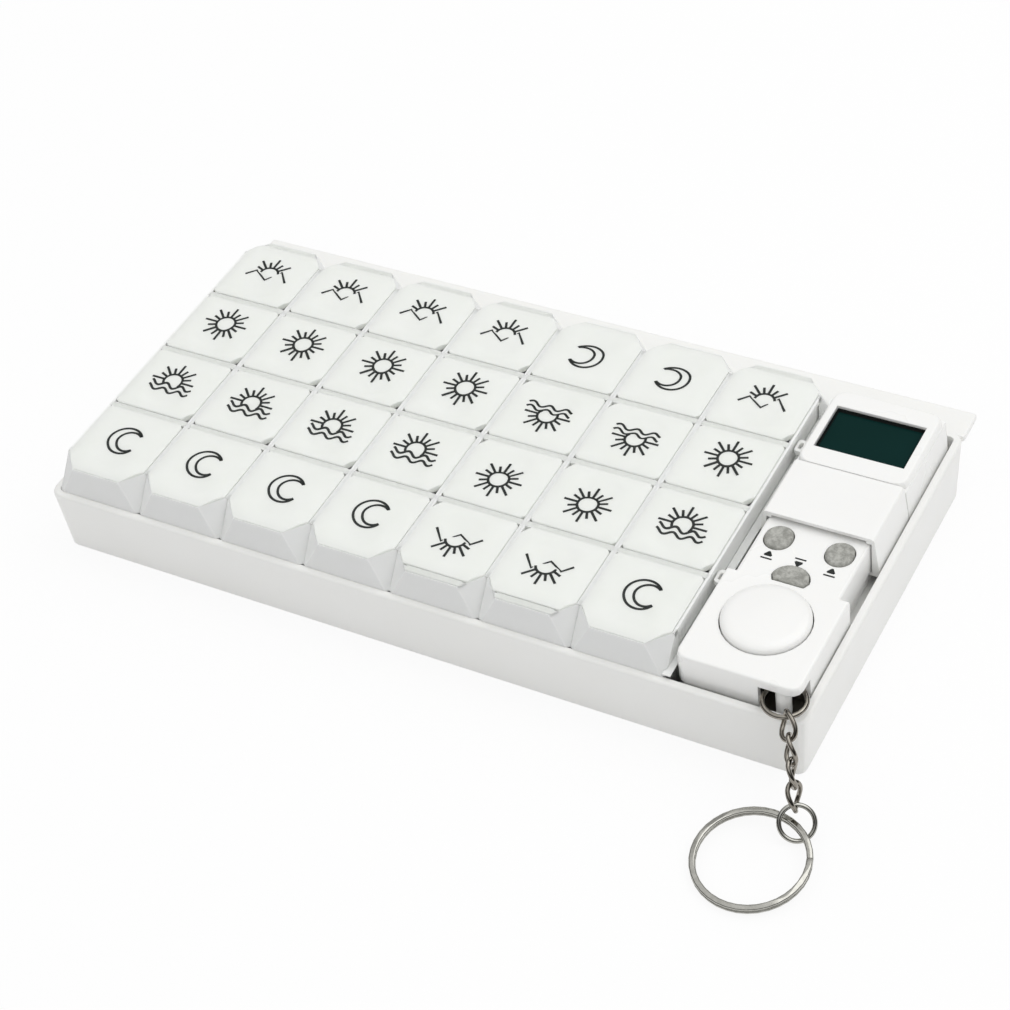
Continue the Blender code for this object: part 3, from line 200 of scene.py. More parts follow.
@dataclass(frozen=True)
class MouldedPlastic(Finish):
    """Injection moulded plastic: an even colour, a fine satin grain and slight flow marks.

    The real grain, some hundredths of a millimetre, is too fine to show and is drawn coarser.
    """

    colour: str
    shade: str
    roughness: float = 0.34
    ior: float = 1.54
    glossier: float = 0.06
    duller: float = 0.08
    grain: float = 0.7 * MM
    relief: float = 0.012 * MM
    grain_strength: float = 0.6
    flow: float = 22 * MM
    glow: float = 0.0
    glow_radii: Triple = (1.0, 0.95, 0.85)
    glow_depth: float = 1.2 * MM

    def make(self) -> bpy.types.Material:
        """Make the plastic with its grain in the bump and its flow marks in colour and gloss."""
        material, tree, shader = blank_material(self.name)
        marks = noise(tree, self.flow, 3.0)
        grain = noise(tree, self.grain, 2.0, 0.6)
        connect(tree, shader, {
            "Base Color": blend(tree, marks, self.colour, self.shade),
            "Roughness": spread(tree, marks, self.roughness - self.glossier, self.roughness + self.duller),
            "Normal": bumps(tree, grain, self.relief, self.grain_strength),
            "IOR": self.ior,
            "Subsurface Weight": self.glow,
            "Subsurface Radius": self.glow_radii,
            "Subsurface Scale": self.glow_depth})
        return material


@dataclass(frozen=True)
class FrostedPolypropylene(Finish):
    """Frosted polypropylene: milky, lit through its thin walls, with cloudy flow and a matt skin.

    The real frosting, some hundredths of a millimetre, is too fine to show and is drawn coarser.
    """

    colour: str
    shade: str
    cover: float = 0.93
    scatter: float = 1.5 * MM
    scatter_share: float = 0.5
    scatter_radii: Triple = (1.0, 1.0, 0.95)
    roughness: float = 0.5
    ior: float = 1.40
    cloud: float = 9 * MM
    grain: float = 0.55 * MM
    relief: float = 0.012 * MM
    grain_strength: float = 0.5

    def make(self) -> bpy.types.Material:
        """Make the frosted plastic: a milky body that scatters light and lets some of it through."""
        material, tree, shader = blank_material(self.name)
        cloud = noise(tree, self.cloud, 4.0, 0.55)
        grain = noise(tree, self.grain, 2.0, 0.6)
        connect(tree, shader, {
            "Base Color": blend(tree, cloud, self.colour, self.shade),
            "Roughness": self.roughness,
            "Normal": bumps(tree, grain, self.relief, self.grain_strength),
            "IOR": self.ior,
            "Alpha": self.cover,
            "Subsurface Weight": self.scatter_share,
            "Subsurface Radius": self.scatter_radii,
            "Subsurface Scale": self.scatter})
        return material


@dataclass(frozen=True)
class NickelPlate(Finish):
    """Nickel plated steel wire: bright and warm grey, with dull spots where it is handled."""

    colour: str = "#cdccc6"
    dull: str = "#93928b"
    roughness: float = 0.05
    duller: float = 0.16
    spot: float = 1.6 * MM

    def make(self) -> bpy.types.Material:
        """Make the plate with duller spots where it rubs."""
        material, tree, shader = blank_material(self.name)
        spots = noise(tree, self.spot, 5.0, 0.65)
        connect(tree, shader, {
            "Base Color": blend(tree, spots, self.colour, self.dull),
            "Roughness": spread(tree, spots, self.roughness, self.roughness + self.duller),
            "Metallic": 1.0})
        return material


@dataclass(frozen=True)
class MattRubber(Finish):
    """Silicone key rubber: mid grey and matt, speckled by dust and handling."""

    colour: str = "#b4b4ae"
    shade: str = "#8f8f89"
    roughness: float = 0.62
    speckle: float = 1.3 * MM
    patch_levels: Point = (0.36, 0.64)
    relief: float = 0.05 * MM
    relief_strength: float = 0.7

    def make(self) -> bpy.types.Material:
        """Make the rubber with mottled colour and a soft skin texture."""
        material, tree, shader = blank_material(self.name)
        speckle = noise(tree, self.speckle, 6.0, 0.7)
        low, high = self.patch_levels
        patch = add_node(tree, "ShaderNodeMapRange", {"interpolation_type": "SMOOTHSTEP"},
                         {"Value": speckle, "From Min": low, "From Max": high}).outputs["Result"]
        connect(tree, shader, {
            "Base Color": blend(tree, patch, self.colour, self.shade),
            "Roughness": self.roughness,
            "Normal": bumps(tree, speckle, self.relief, self.relief_strength)})
        return material


@dataclass(frozen=True)
class PrintingInk(Finish):
    """Pad printed ink: near black and satin, thin where the pad lifted."""

    colour: str = "#141917"
    thin: str = "#262c29"
    cover: float = 1.1 * MM
    roughness: float = 0.45

    def make(self) -> bpy.types.Material:
        """Make the ink with slightly uneven cover."""
        material, tree, shader = blank_material(self.name)
        cover = noise(tree, self.cover, 3.0)
        connect(tree, shader, {
            "Base Color": blend(tree, cover, self.colour, self.thin),
            "Roughness": self.roughness})
        return material


@dataclass(frozen=True)
class DisplayGlass(Finish):
    """A liquid crystal cell at rest: very dark green glass with a satin polariser on it."""

    colour: str = "#0c2c2a"
    shade: str = "#0a2724"
    cloud: float = 14 * MM
    roughness: float = 0.18
    ior: float = 1.12

    def make(self) -> bpy.types.Material:
        """Make the dark pane with a faint cloudiness in its polariser."""
        material, tree, shader = blank_material(self.name)
        cloud = noise(tree, self.cloud, 2.0)
        connect(tree, shader, {
            "Base Color": blend(tree, cloud, self.colour, self.shade),
            "Roughness": self.roughness,
            "IOR": self.ior})
        return material


@dataclass(frozen=True)
class BoardLaminate(Finish):
    """Green glass cloth laminate with the weave showing through its lacquer."""

    colour: str = "#1d5a32"
    shade: str = "#12401f"
    weave: float = 0.5 * MM
    roughness: float = 0.35

    def make(self) -> bpy.types.Material:
        """Make the laminate with a crossed weave in colour."""
        material, tree, shader = blank_material(self.name)
        place = add_node(tree, "ShaderNodeTexCoord").outputs["Object"]
        weave = add_node(tree, "ShaderNodeTexChecker", None,
                         {"Vector": place, "Scale": 1 / self.weave, "Color1": linear(self.colour),
                          "Color2": linear(self.shade)})
        connect(tree, shader, {"Base Color": weave.outputs["Color"], "Roughness": self.roughness})
        return material


# Plain white with soft highlights: the tray, and the fob's slightly glossier case.
TRAY_PLASTIC = MouldedPlastic("white_moulded_styrene", "#f3f3f1", "#efefec", 0.38, 1.59, glow=0.1)
CASE_PLASTIC = MouldedPlastic("white_moulded_abs", "#f6f6f4", "#f2f2f0", 0.28, 1.54, glow=0.1)
# Dark and satin: the buzzer. Painted shade: the black of the display's well and the dark sheets in the
# corner notch.
BUZZER_PLASTIC = MouldedPlastic("black_moulded_case", "#1a1a1a", "#242424", 0.45)
# Painted shade: the display's well is black for the shadow of the window's edge on the cell.
WELL_SHADE_PLASTIC = MouldedPlastic("black_painted_well_shade", "#0b0f0e", "#111615", 0.5)
# Painted shade: dark sheets standing where the corner notch is only in shadow.
NOTCH_SHADE_PLASTIC = MouldedPlastic("painted_notch_shade", "#2b2822", "#38342c", 0.6)
# Milky white that light enters: lids a little greener and clearer, strips whiter and denser.
LID_PLASTIC = FrostedPolypropylene("frosted_lid_polypropylene", "#f5f7f3", "#eff2ec")
STRIP_PLASTIC = FrostedPolypropylene("frosted_strip_polypropylene", "#fbfcfa", "#f8faf6", 0.95, 1.2 * MM)
# Bright metal: the jump and split rings; a darker copy, painted shade for dark reflections, on the corner
# ring and links; the satin battery and screws.
WIRE_METAL = NickelPlate("nickel_plated_wire")
# Painted shade: a darker copy of the plate for the dark surroundings that the corner ring and links
# reflect.
SHADED_WIRE_METAL = NickelPlate("nickel_plated_wire_painted_shade", "#b4afa6", "#6c675f", 0.06)
CELL_METAL = NickelPlate("brushed_cell_case", "#c9c7c1", "#b3b1ab", 0.3)
# Matt grey keys, near black print, dark green glass and a green board.
KEY_RUBBER = MattRubber("grey_silicone_rubber")
INK = PrintingInk("black_pad_print")
DISPLAY = DisplayGlass("display_cell_glass")
LAMINATE = BoardLaminate("green_board_laminate")


def finished(name: str, body: Body, sharp: float = 35.0) -> Piece:
    """Turn a bmesh into a linked object with smooth faces and sharp corners.

    Args:
        name: The piece's name.
        body: The bmesh, which is freed.
        sharp: The angle in degrees from which an edge shows.

    Returns:
        The new object, at the origin.
    """
    mesh = bpy.data.meshes.new(name)
    body.to_mesh(mesh)
    body.free()
    leftover = mesh.attributes.get("custom_normal")
    if leftover:
        mesh.attributes.remove(leftover)
    mesh.shade_smooth()
    mesh.set_sharp_from_angle(angle=math.radians(sharp))
    piece = bpy.data.objects.new(name, mesh)
    bpy.context.collection.objects.link(piece)
    return piece


def merged_copy(node: str, join: float = SAME_PLACE) -> Body:
    """Copy a CAD node's mesh, with its loose triangles merged into whole flat faces.

    Args:
        node: The CAD node's name.
        join: Corners nearer than this become one, which takes slivers away.

    Returns:
        The merged copy.
    """
    body = bmesh.new()
    body.from_mesh(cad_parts[node].data)
    bmesh.ops.remove_doubles(body, verts=body.verts, dist=join)
    bmesh.ops.dissolve_limit(body, angle_limit=math.radians(0.5), verts=body.verts, edges=body.edges)
    return body


def round_off(body: Body, edges: list[bmesh.types.BMEdge], width: float, segments: int,
              clamp: bool) -> None:
    """Round some of a body's edges, kept from overlapping if clamp is set."""
    bmesh.ops.bevel(body, geom=edges, offset=width, offset_type="OFFSET", segments=segments,
                    profile=0.5, affect="EDGES", material=-1, clamp_overlap=clamp)


def soften(body: Body, width: float, angle: float = 28.0, segments: int = 2) -> None:
    """Round a body's outward corners.

    Args:
        body: The body.
        width: How far the rounding reaches from each edge.
        angle: The smallest angle in degrees between two faces that counts as a corner.
        segments: How many faces make the rounding.
    """
    least = math.radians(angle)
    corners = [edge for edge in body.edges
               if edge.is_manifold and edge.is_convex and edge.calc_face_angle(0.0) > least]
    round_off(body, corners, width, segments, False)


def add_block(body: Body, middle: Vector | Triple, size: Vector | Triple) -> None:
    """Add a straight block to a body.

    Args:
        body: The body.
        middle: The block's middle.
        size: The block's size on each axis.
    """
    block = bmesh.ops.create_cube(body, size=1.0)["verts"]
    bmesh.ops.scale(body, verts=block, vec=size)
    bmesh.ops.translate(body, verts=block, vec=middle)


def even_out(piece: Piece) -> Piece:
    """Let a rounded shell's large flat faces shade flat, so that only its roundings catch the light."""
    even = piece.modifiers.new("even", "WEIGHTED_NORMAL")
    even.mode = "FACE_AREA"
    even.weight = 100
    even.keep_sharp = True
    return piece


def settle(piece: Piece, finish: Finish, body: str, nodes: tuple[str, ...] = ()) -> Piece:
    """Dress a piece, put it on its body and let it stand for its CAD nodes.

    Args:
        piece: The finished piece.
        finish: Its finish.
        body: The CAD body that carries it.
        nodes: The CAD nodes that it replaces.

    Returns:
        The piece.
    """
    finish.dress(piece)
    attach(piece, body)
    if nodes:
        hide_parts(*nodes)
    LOG.info("%s rides on %s", piece.name, body)
    return piece


class Sign(Enum):
    """The signs printed on the lids, one for each time of the day."""

    MORNING = 1
    NOON = 2
    EVENING = 3
    NIGHT = 4


def bow(centre: Point, radius: float, start: float, end: float, steps: int = 36) -> Stroke:
    """Return points along an arc.

    Args:
        centre: The arc's centre.
        radius: Its radius.
        start: The angle in degrees at which it starts.
        end: The angle at which it ends.
        steps: How many parts it has.

    Returns:
        The points, ends included.
    """
    angles = [math.radians(start + (end - start) * step / steps) for step in range(steps + 1)]
    return [(centre[0] + radius * math.cos(a), centre[1] + radius * math.sin(a)) for a in angles]


@dataclass(frozen=True)
class PrintedSign:
    """A sign made of thin strokes that lie on a lid."""

    line: float = 0.72 * MM
    disc: float = 2.78 * MM
    ray_start: float = 3.05 * MM
    long_ray: float = 6.75 * MM
    short_ray: float = 5.25 * MM
    ray_step: float = 22.5
    long_step: float = 45.0
    morning_centre: Point = (0.10 * MM, -0.10 * MM)
    peaks_mm: tuple[Point, ...] = ((-6.6, -2.2), (-4.2, 0.35), (0.0, -2.35), (3.5, 1.9), (6.8, -2.1))
    noon_centre: Point = (0.25 * MM, 1.65 * MM)
    evening_centre: Point = (-0.50 * MM, 0.45 * MM)
    waves: Point = (-1.30 * MM, -3.15 * MM)
    wave_ends: Point = (-6.45 * MM, 6.7 * MM)
    wave_crest: float = -1.75 * MM
    wave_length: float = 4.85 * MM
    wave_height: float = 0.72 * MM
    wave_steps: int = 40
    night_centre: Point = (0.50 * MM, 1.25 * MM)
    moon: float = 4.72 * MM
    moon_inside: float = 3.50 * MM
    moon_shift: float = 1.38 * MM
    thickness_share: float = 0.12
    lift: float = 0.02 * MM

    def rays(self, centre: Point, first: int, last: int) -> list[Stroke]:
        """Return rays round a centre, from one step to another; every second one is long."""
        strokes = []
        for step in range(first, last + 1):
            angle = self.ray_step * step
            turn = math.radians(angle)
            reach = self.short_ray if angle % self.long_step else self.long_ray
            strokes.append([(centre[0] + distance * math.cos(turn), centre[1] + distance * math.sin(turn))
                            for distance in (self.ray_start, reach)])
        return strokes

    def wave(self, level: float) -> Stroke:
        """Return a wavy line at a level."""
        left, right = self.wave_ends
        points = []
        for step in range(self.wave_steps + 1):
            x = left + (right - left) * step / self.wave_steps
            phase = math.tau * (x - self.wave_crest) / self.wave_length
            points.append((x, level + self.wave_height * math.cos(phase)))
        return points

    def morning(self) -> list[Stroke]:
        """Return a half sun behind two peaks."""
        centre = self.morning_centre
        return [bow(centre, self.disc, 18, 176), [(x * MM, y * MM) for x, y in self.peaks_mm],
                *self.rays(centre, 2, 7)]

    def noon(self) -> list[Stroke]:
        """Return a whole sun."""
        return [bow(self.noon_centre, self.disc, 0, 360), *self.rays(self.noon_centre, 0, 15)]

    def evening(self) -> list[Stroke]:
        """Return a sun that sinks into two waves."""
        centre = self.evening_centre
        return [bow(centre, self.disc, -34, 216), *(self.wave(level) for level in self.waves),
                *self.rays(centre, 0, 8)]

    def night(self) -> list[Stroke]:
        """Return a crescent moon, with a short arc in each horn that fills its point."""
        centre = self.night_centre
        inside = (centre[0] + self.moon_shift, centre[1])
        tip = (centre[0] + self.moon_shift / 2, centre[1])
        between = (self.moon + self.moon_inside) / 2
        return [bow(centre, self.moon, 35, 325, 48), bow(inside, self.moon_inside, 49, 311, 40),
                bow(tip, between, 42, 66, 8), bow(tip, between, 300, 318, 8)]

    def strokes(self, sign: Sign) -> list[Stroke]:
        """Return a sign's strokes about the lid's middle, its top towards +Y."""
        makers = {Sign.MORNING: self.morning, Sign.NOON: self.noon, Sign.EVENING: self.evening,
                  Sign.NIGHT: self.night}
        return makers[sign]()

    def build(self, name: str, strokes: list[Stroke], place: Matrix, surface: BVHTree) -> Piece:
        """Lay strokes on a surface as thin ink.

        Args:
            name: The piece's name.
            strokes: The strokes, flat.
            place: The turn and shift to their place.
            surface: What they lie on.

        Returns:
            The ink's object.
        """
        curve = bpy.data.curves.new(name, "CURVE")
        curve.dimensions = "3D"
        curve.bevel_depth = self.line / 2
        curve.bevel_resolution = 1
        curve.use_fill_caps = True
        for points in strokes:
            spline = curve.splines.new("POLY")
            spline.points.add(len(points) - 1)
            for target, (x, y) in zip(spline.points, points):
                target.co = (x, y, 0.0, 1.0)
        shape = bpy.data.objects.new(name, curve)
        bpy.context.collection.objects.link(shape)
        bpy.context.view_layer.update()
        graph = bpy.context.evaluated_depsgraph_get()
        mesh = bpy.data.meshes.new_from_object(shape.evaluated_get(graph))
        bpy.data.objects.remove(shape)
        bpy.data.curves.remove(curve)
        mesh.transform(place @ Matrix.Diagonal((1.0, 1.0, self.thickness_share, 1.0)))
        down = Vector((0.0, 0.0, -1.0))
        level = surface.find_nearest(place.translation + Vector((0.0, 0.0, HIGH_UP)))[0].z
        for vertex in mesh.vertices:
            hit = surface.ray_cast(Vector((vertex.co.x, vertex.co.y, HIGH_UP)), down)[0]
            level = hit.z if hit else level
            vertex.co.z += level + self.lift
        mesh.name = name
        mesh.shade_smooth()
        piece = bpy.data.objects.new(name, mesh)
        bpy.context.collection.objects.link(piece)
        return piece


def surface_of(piece: Piece) -> BVHTree:
    """Return a piece's surface for finding heights on it."""
    body = bmesh.new()
    body.from_mesh(piece.data)
    tree = BVHTree.FromBMesh(body)
    body.free()
    return tree


@dataclass
class TrayShell:
    """The open tray with its rear ledge."""

    rounding: float = 0.28 * MM
    sliver: float = 0.20 * MM

    def build(self) -> Piece:
        """Make the tray with softened corners.

        Returns:
            The tray's piece.
        """
        body = merged_copy("tray", self.sliver)
        soften(body, self.rounding)
        return even_out(finished("tray_shell", body))

    def dress(self) -> None:
        """Build the tray and give it its plastic."""
        settle(self.build(), TRAY_PLASTIC, "tray", ("tray",))


@dataclass
class PillStrip:
    """One lift-out strip of four cells with their lids and printed signs."""

    column: int
    turned: bool
    rounding: float = 0.16 * MM
    apron_foot: float = 20.05 * MM
    apron_out: float = 1.75 * MM
    apron_top_out: float = 0.38 * MM
    apron_top_cut: Point = (5.18 * MM, 6.25 * MM)
    apron_wall: float = 0.32 * MM
    apron_cut: Point = (0.5 * MM, 0.6 * MM)
    rail_width: float = 0.73 * MM
    rail_out: float = 0.49 * MM
    rail_height: float = 1.5 * MM
    seam_bar: Point = (1.84 * MM, 0.6 * MM)
    seam_gap: float = 0.08 * MM
    flange: Triple = (2.1 * MM, 21.5 * MM, 0.5 * MM)
    corner_cut: Point = (4.5 * MM, 5.5 * MM)
    hinge_end_cut: Point = (2.9 * MM, 3.6 * MM)
    small_cut: float = 1.0 * MM
    grip_cut: Point = (2.2 * MM, 3.2 * MM)
    lid_edge: float = 0.32 * MM
    rim_angle: float = 20.0
    pillow_drop: float = 0.60 * MM
    pillow_reach: float = 4.0 * MM
    slope_drop: float = 1.0 * MM
    slope_reach: float = 7.0 * MM
    scoop_depth: float = 0.55 * MM
    scoop_place: Point = (0.0, -5.2 * MM)
    scoop_reach: Point = (7.6 * MM, 6.4 * MM)
    grid_steps: int = 26
    sign: PrintedSign = PrintedSign()

    def body_shell(self) -> Piece:
        """Make the strip's body with its rails and seam bars, and an apron round each end.

        Returns:
            The strip's piece.
        """
        node = f"strip_{self.column}"
        body = merged_copy(node)
        soften(body, self.rounding)
        low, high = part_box(node)
        middle = (low + high) / 2
        half = Vector(((high.x - low.x) / 2, (high.y - low.y) / 2))
        self.add_rails(body, middle, half, high.z)
        for end in (-1, 1):
            self.add_apron(body, middle, half, high.z, end)
        return even_out(finished(f"{node}_shell", body))

    def add_rails(self, body: Body, middle: Vector, half: Vector, top: float) -> None:
        """Add the thin trim at the lids' height.

        It is a low rail along each side, a bar under each seam between two lids, a bar behind the
        hinges and, on the last strip, the flange that reaches towards the fob.

        Args:
            body: The strip's body, which gets the trim.
            middle: The strip's middle.
            half: Half its width and length.
            top: The height of its top.
        """
        reach = half.y - self.corner_cut[1]
        for side in (-1, 1):
            across = middle.x + side * (half.x + self.rail_out - self.rail_width / 2)
            add_block(body, (across, middle.y, top - self.rail_height / 2),
                      (self.rail_width, 2 * reach, self.rail_height))
        seam_size, seam_height = self.seam_bar
        for row in range(1, ROWS):
            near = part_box(f"lid_{self.column}_{row}")
            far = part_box(f"lid_{self.column}_{row + 1}")
            seam = (max(near[0].y, far[0].y) + min(near[1].y, far[1].y)) / 2
            add_block(body, (middle.x, seam, top - seam_height / 2),
                      (2 * half.x - self.rail_width, seam_size, seam_height))
        back = middle.y - half.y if self.turned else middle.y + half.y
        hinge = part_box(f"lid_{self.column}_1")[0 if self.turned else 1].y
        hinge += math.copysign(self.seam_gap, back - hinge)
        add_block(body, (middle.x, (hinge + back) / 2, top - seam_height / 2),
                  (2 * (half.x - self.corner_cut[0]), abs(back - hinge), seam_height))
        if self.column == COLUMNS:
            width, level, height = self.flange
            add_block(body, (middle.x + half.x + width / 2, middle.y, level - height / 2),
                      (width, 2 * (half.y + self.apron_out), height))

    def apron_line(self, half: Vector, cut: Point, out: float) -> Stroke:
        """Return the plan of an apron at one height, from side to side round the strip's end."""
        side = half.x + self.rail_out
        reach = half.y + out
        back = half.y - self.apron_top_cut[1] - self.rail_width
        quarter = [(-side, -back), (-side, -reach + cut[1]), (-half.x + cut[0], -reach)]
        return quarter + [(-x, y) for x, y in reversed(quarter)]

    def add_apron(self, body: Body, middle: Vector, half: Vector, top: float, end: int) -> None:
        """Add the sheet that runs from the lids' edge down to the tray's rim round one end.

        Args:
            body: The strip's body, which gets the sheet.
            middle: The strip's middle.
            half: Half its width and length.
            top: The height of its top.
            end: -1 for its front end, 1 for its back end.
        """
        foot_out = self.apron_out if end < 0 else self.apron_wall
        levels = ((self.apron_foot, self.apron_line(half, self.apron_cut, foot_out)),
                  (top, self.apron_line(half, self.apron_top_cut, self.apron_top_out)))
        rows = [[body.verts.new((middle.x + x, middle.y - end * y, level)) for x, y in line]
                for level, line in levels]
        edges = [[body.edges.new(pair) for pair in zip(row, row[1:])] for row in rows]
        sheet = bmesh.ops.bridge_loops(body, edges=[*edges[0], *edges[1]])["faces"]
        bmesh.ops.recalc_face_normals(body, faces=sheet)
        outside = Vector((0.0, float(end), 0.0))
        if max(sheet, key=lambda face: face.calc_area()).normal.dot(outside) < 0:
            bmesh.ops.reverse_faces(body, faces=sheet)
        bmesh.ops.solidify(body, geom=sheet, thickness=self.apron_wall)

    def corner_cuts(self, row: int) -> list[tuple[int, int, Point]]:
        """Return a lid's corner cuts as side, end and size; end 1 is at the hinge."""
        small = (self.small_cut, self.small_cut)
        back = self.hinge_end_cut if row == 1 else small
        front = self.corner_cut if row == ROWS else small
        grip = self.corner_cut if row == ROWS else self.grip_cut
        return [(-1, 1, back), (1, 1, back), (-1, -1, front), (1, -1, grip)]

    def lid(self, row: int) -> Piece:
        """Make one lid: a plate with cut corners, a thumb scoop and round edges.

        Args:
            row: The lid's row, 1 at the hinge end.

        Returns:
            The lid's piece, in its place.
        """
        low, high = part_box(f"lid_{self.column}_{row}")
        half_x = (high.x - low.x) / 2
        half_y = (high.y - low.y) / 2
        thickness = high.z - low.z
        body = bmesh.new()
        bmesh.ops.create_grid(body, x_segments=self.grid_steps, y_segments=self.grid_steps, size=1.0)
        bmesh.ops.scale(body, verts=body.verts, vec=(half_x, half_y, 1.0))
        for side, end, (across, along) in self.corner_cuts(row):
            point = (side * (half_x - across), end * half_y, 0.0)
            normal = Vector((side * along, end * across, 0.0)).normalized()
            bmesh.ops.bisect_plane(body, geom=[*body.verts, *body.edges, *body.faces], plane_co=point,
                                   plane_no=normal, dist=ON_PLANE, clear_outer=True)
        plate = bmesh.ops.extrude_face_region(body, geom=body.faces[:])["geom"]
        top = [item for item in plate if isinstance(item, bmesh.types.BMVert)]
        bmesh.ops.translate(body, verts=top, vec=(0.0, 0.0, thickness))
        self.round_rim(body, thickness)
        for vertex in body.verts:
            if vertex.co.z > thickness / 2:
                rim = min(half_x - abs(vertex.co.x), half_y - abs(vertex.co.y))
                slope = self.end_slope(vertex.co.y + half_y) if row == ROWS else 0.0
                vertex.co.z -= self.scoop(vertex.co.x, vertex.co.y) + max(self.pillow(rim), slope)
        bmesh.ops.recalc_face_normals(body, faces=body.faces)
        middle = Vector(((low.x + high.x) / 2, (low.y + high.y) / 2, low.z))
        bmesh.ops.transform(body, matrix=Matrix.Translation(middle) @ self.turn(), verts=body.verts)
        return even_out(finished(f"lid_{self.column}_{row}_plate", body, 50.0))

    def turn(self) -> Matrix:
        """Return the half turn of a strip that stands the other way round, or none."""
        return Matrix.Rotation(math.pi, 4, "Z") if self.turned else Matrix.Identity(4)

    def round_rim(self, body: Body, thickness: float) -> None:
        """Round the rim of a plate's top."""
        least = math.radians(self.rim_angle)
        rim = [edge for edge in body.edges
               if edge.is_manifold and edge.calc_face_angle(0.0) >= least
               and all(vertex.co.z > thickness * 0.9 for vertex in edge.verts)]
        round_off(body, rim, self.lid_edge, 4, True)

    def pillow(self, rim: float) -> float:
        """Return how far the plate's top falls at a distance from its rim."""
        share = max(0.0, 1 - rim / self.pillow_reach)
        return self.pillow_drop * share * share

    def end_slope(self, away: float) -> float:
        """Return how far an end lid's top falls at a distance from the strip's open end."""
        share = max(0.0, 1 - away / self.slope_reach)
        return self.slope_drop * share * share

    def scoop(self, x: float, y: float) -> float:
        """Return how deep the thumb scoop is at a place on the lid."""
        away = math.hypot((x - self.scoop_place[0]) / self.scoop_reach[0],
                          (y - self.scoop_place[1]) / self.scoop_reach[1])
        share = max(0.0, 1 - away * away)
        return self.scoop_depth * share * share * (3 - 2 * share)

    def print_sign(self, row: int, plate: Piece) -> None:
        """Print a lid's sign on its plate."""
        low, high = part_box(f"lid_{self.column}_{row}")
        middle = Matrix.Translation(((low.x + high.x) / 2, (low.y + high.y) / 2, 0.0))
        ink = self.sign.build(f"sign_{self.column}_{row}", self.sign.strokes(Sign(row)),
                              middle @ self.turn(), surface_of(plate))
        settle(ink, INK, f"lid_{self.column}_{row}")

    def dress(self) -> None:
        """Build the strip, its lids and its signs and give them their finishes."""
        strip = f"strip_{self.column}"
        settle(self.body_shell(), STRIP_PLASTIC, strip, (strip,))
        for row in range(1, ROWS + 1):
            lid = f"lid_{self.column}_{row}"
            plate = settle(self.lid(row), LID_PLASTIC, lid, (lid,))
            self.print_sign(row, plate)


